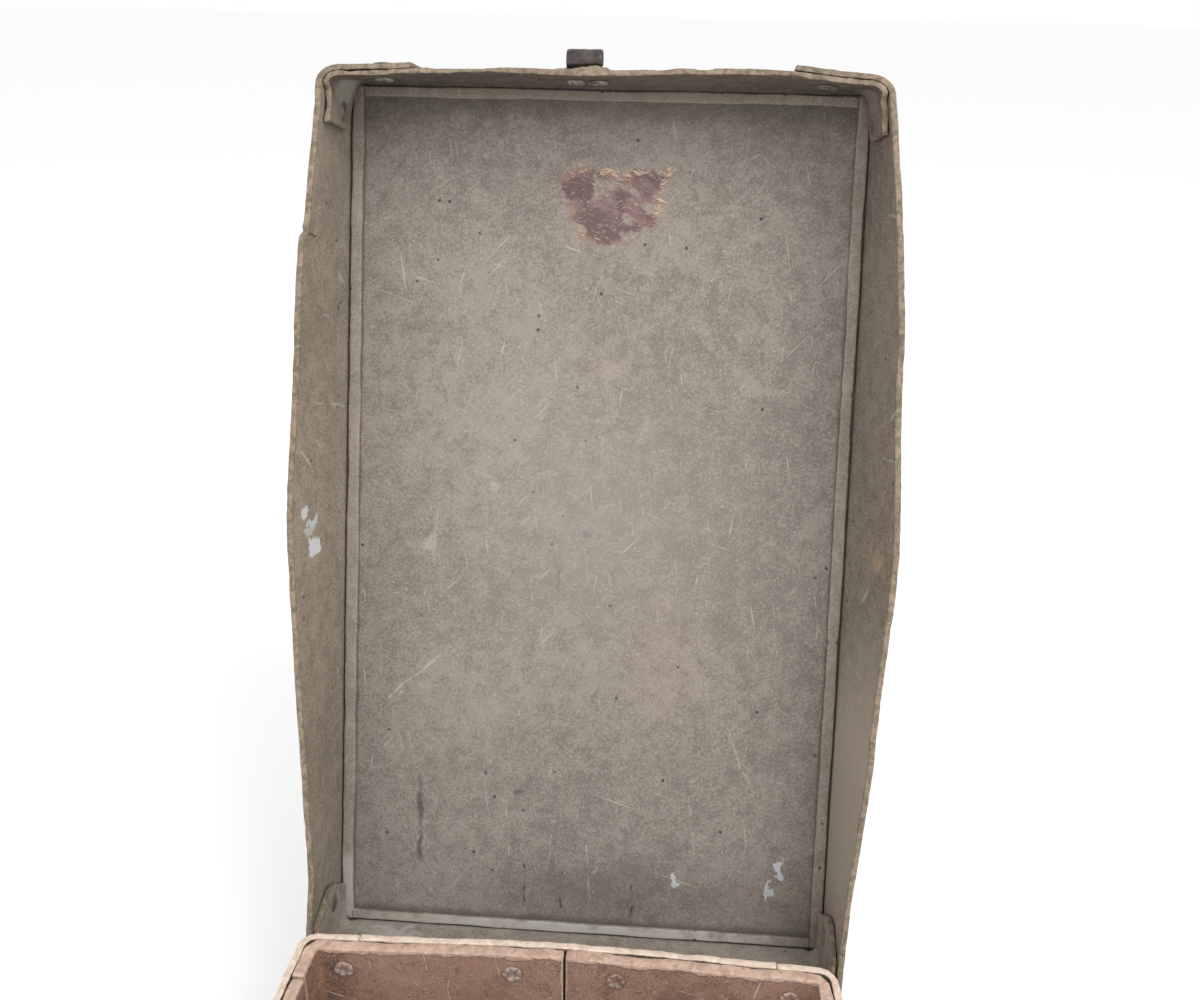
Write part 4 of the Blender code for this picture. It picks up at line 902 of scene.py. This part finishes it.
def keeper():
    """The lid's half of the latch: sheet whose lower end is rolled outwards into an open tube.

    One parameter runs across the sheet, the other up one face of the section and back down the other.
    """
    turn = np.linspace(0, math.radians(300), 44)[1:]
    above = np.append(np.linspace(0.016, 0.0046, 12), [0.002, 0])
    z = ROLL_HEIGHT + np.append(above, -ROLL_RADIUS * np.sin(turn))
    y = np.append(np.zeros(14), -ROLL_RADIUS * (1 - np.cos(turn)))
    half = np.concatenate([np.full(12, 0.008), [0.0064, 0.006], np.full(len(turn), 0.006)])
    tangent = np.stack([np.gradient(y), np.gradient(z)], -1)
    tangent /= np.linalg.norm(tangent, axis=1)[:, None]
    normal = np.stack([tangent[:, 1], -tangent[:, 0]], -1)
    across = np.linspace(-1, 1, 40)
    edge = np.sqrt(1 - np.clip((np.abs(across) - 0.93) / 0.07, 0, 1) ** 2 * 0.85)
    dent = rough(across[:, None] / 0.35, z[None, :] / 0.0035, 401, 3) * 0.0001
    face = FRONT_INNER - LID_BOARD - GAP - KEEPER_SHEET / 2
    sides = []
    for way in (-1, 1):
        shift = way * KEEPER_SHEET / 2 * edge[:, None] + dent
        lean = KEEPER_LEAN * (1 - z[None, :] / LID_DEPTH)
        section_y = face + y[None, :] + lean + normal[None, :, 0] * shift
        section_z = z[None, :] + normal[None, :, 1] * shift
        x = LATCH_X + across[:, None] * half[None, :]
        sides.append(np.stack([x, section_y, section_z], -1))
    rings = np.concatenate([sides[0], sides[1][:, ::-1]], axis=1)
    skin("keeper_rolled", open_lid(rings), LATCH_STEEL, "lid", ("keeper",))


# ---- body ----
def body_boards():
    """Outer boards: long sides turned round the ends, flat ends between them."""
    for side, place in SIDES:
        inner_x, y = side * (BODY_WIDTH / 2 - BODY_BOARD), BODY_LENGTH / 2 - BODY_BOARD
        end_x = side * (BODY_WIDTH / 2 - BODY_WRAP)
        corners = [(end_x, -y), (inner_x, -y), (inner_x, y), (end_x, y)]
        line = plan_line(corners if side > 0 else corners[::-1], BODY_CORNER - BODY_BOARD, 0.0016)
        stood_board("body_side_" + place, line, BODY_HEIGHT + back_rim(line), BASE_BOARD + GAP, BODY_BOARD,
                    bend_body, 120 + side, BODY_OUTER, torn=0.0003, peel=0.12)
    half = BODY_WIDTH / 2 - BODY_WRAP - GAP
    for outward, place in ((-1, "front"), (1, "back")):
        y = outward * (BODY_LENGTH / 2 - BODY_BOARD)
        line = plan_line([(-half * -outward, y), (half * -outward, y)], 0.0, 0.0012)
        stood_board("body_wall_" + place, line, BODY_HEIGHT + back_rim(line), BASE_BOARD + GAP, BODY_BOARD,
                    bend_body, 130 + outward, BODY_OUTER, torn=0.0003, peel=0.12)


def body_liners():
    """Thick inner boards with ragged rims: two butted halves at the back, and one on each other side."""
    x, y = BODY_WIDTH / 2 - WALL_TOTAL, BODY_LENGTH / 2 - WALL_TOTAL
    turn_y = y - LINER_RETURN
    lines = {"liner_front": ([(-x, -turn_y), (-x, -y), (x, -y), (x, -turn_y)], 141)}
    for side, place in SIDES:
        back = [(side * LINER_SEAM / 2, y), (side * x, y), (side * x, turn_y)]
        flank = [(side * x, turn_y - LINER_SEAM), (side * x, -turn_y + LINER_SEAM)]
        lines["liner_back_" + place] = (back[::-1] if side > 0 else back, 150 + side)
        lines["liner_" + place] = (flank[::-1] if side > 0 else flank, 160 + side)
    for name, (corners, seed) in lines.items():
        line = plan_line(corners, LINER_BEND, 0.0012)
        stood_board(name, line, BODY_HEIGHT + back_rim(line), BASE_BOARD + GAP, LINER_BOARD, bend_body, seed,
                    LINER_RED, torn=0.0004, peel=0.1)


def finish_kept_nodes():
    """Finishes for the pieces whose frame shape is already their final one."""
    for name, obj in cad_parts.items():
        if obj.hide_render:
            continue
        material, slot = PLAIN_BOARD, "grey_board"
        if name == "base_board":
            material = BASE_FINISH
        elif name.startswith(("hinge_leaf", "hinge_pin")):
            material, slot = HINGE_STEEL, "dark_steel"
        elif name in ("catch_plate", "latch_bail"):
            material, slot = LATCH_STEEL, "dark_steel"
        obj.data.materials.clear()
        obj.data.materials.append(material)


# ---- surroundings ----
def floor():
    bpy.ops.mesh.primitive_plane_add(size=80.0, location=(0, 0, 0))
    plane = bpy.context.object
    plane.name = "floor"
    material, _, shader, _ = new_material("floor_white")
    shader.inputs["Base Color"].default_value = (0.97, 0.97, 0.97, 1)
    shader.inputs["Roughness"].default_value = 0.9
    plane.data.materials.append(material)


def light(name, place, aim, size, power):
    lamp = bpy.data.lights.new(name, "AREA")
    lamp.shape, lamp.size, lamp.energy = "DISK", size, power
    obj = add_object(name, lamp)
    obj.location = place
    obj.rotation_euler = (Vector(aim) - Vector(place)).to_track_quat("-Z", "Y").to_euler()


def studio():
    floor()
    world = bpy.data.worlds.new("soft_white")
    world.use_nodes = True
    background = world.node_tree.nodes["Background"]
    background.inputs["Color"].default_value = (1, 1, 1, 1)
    background.inputs["Strength"].default_value = 1.0
    bpy.context.scene.world = world
    bpy.context.scene.view_settings.view_transform = "Standard"
    light("key", (0.9, -0.7, 1.5), (0.0, 0.12, 0.2), 1.1, 16)
    light("fill", (-0.9, -1.2, 0.9), (0.0, 0.12, 0.2), 1.2, 5)


def camera():
    data = bpy.data.cameras.new("camera")
    data.lens, data.sensor_width, data.sensor_fit = 33.6, 36.0, "HORIZONTAL"
    data.clip_start = 0.01
    obj = add_object("camera", data)
    pitch, yaw, roll = (math.radians(a) for a in (23.916, 3.724, -0.962))
    turn = (Matrix.Rotation(yaw, 3, "Z") @ Matrix.Rotation(-pitch, 3, "X") @ Matrix.Rotation(roll, 3, "Y")
            @ Matrix.Rotation(math.pi / 2, 3, "X"))
    obj.matrix_world = Matrix.Translation((0.02747, -0.13005, 0.38899)) @ turn.to_4x4()
    bpy.context.scene.camera = obj


def main():
    long_wall(-1, "lid_wall_left", LEFT_WALL)
    long_wall(1, "lid_wall_right", RIGHT_WALL)
    short_wall("lid_wall_front", FRONT_INNER, -1, FRONT_TAB, 0.0, 81, FRONT_WALL)
    short_wall("lid_wall_hinge", BACK_INNER, 1, HINGE_TAB, 1.0, 91, HINGE_WALL)
    panel()
    strips()
    label_remnant()
    keeper()
    lid_rivets()
    body_boards()
    body_liners()
    body_rivets()
    finish_kept_nodes()
    studio()
    camera()


main()
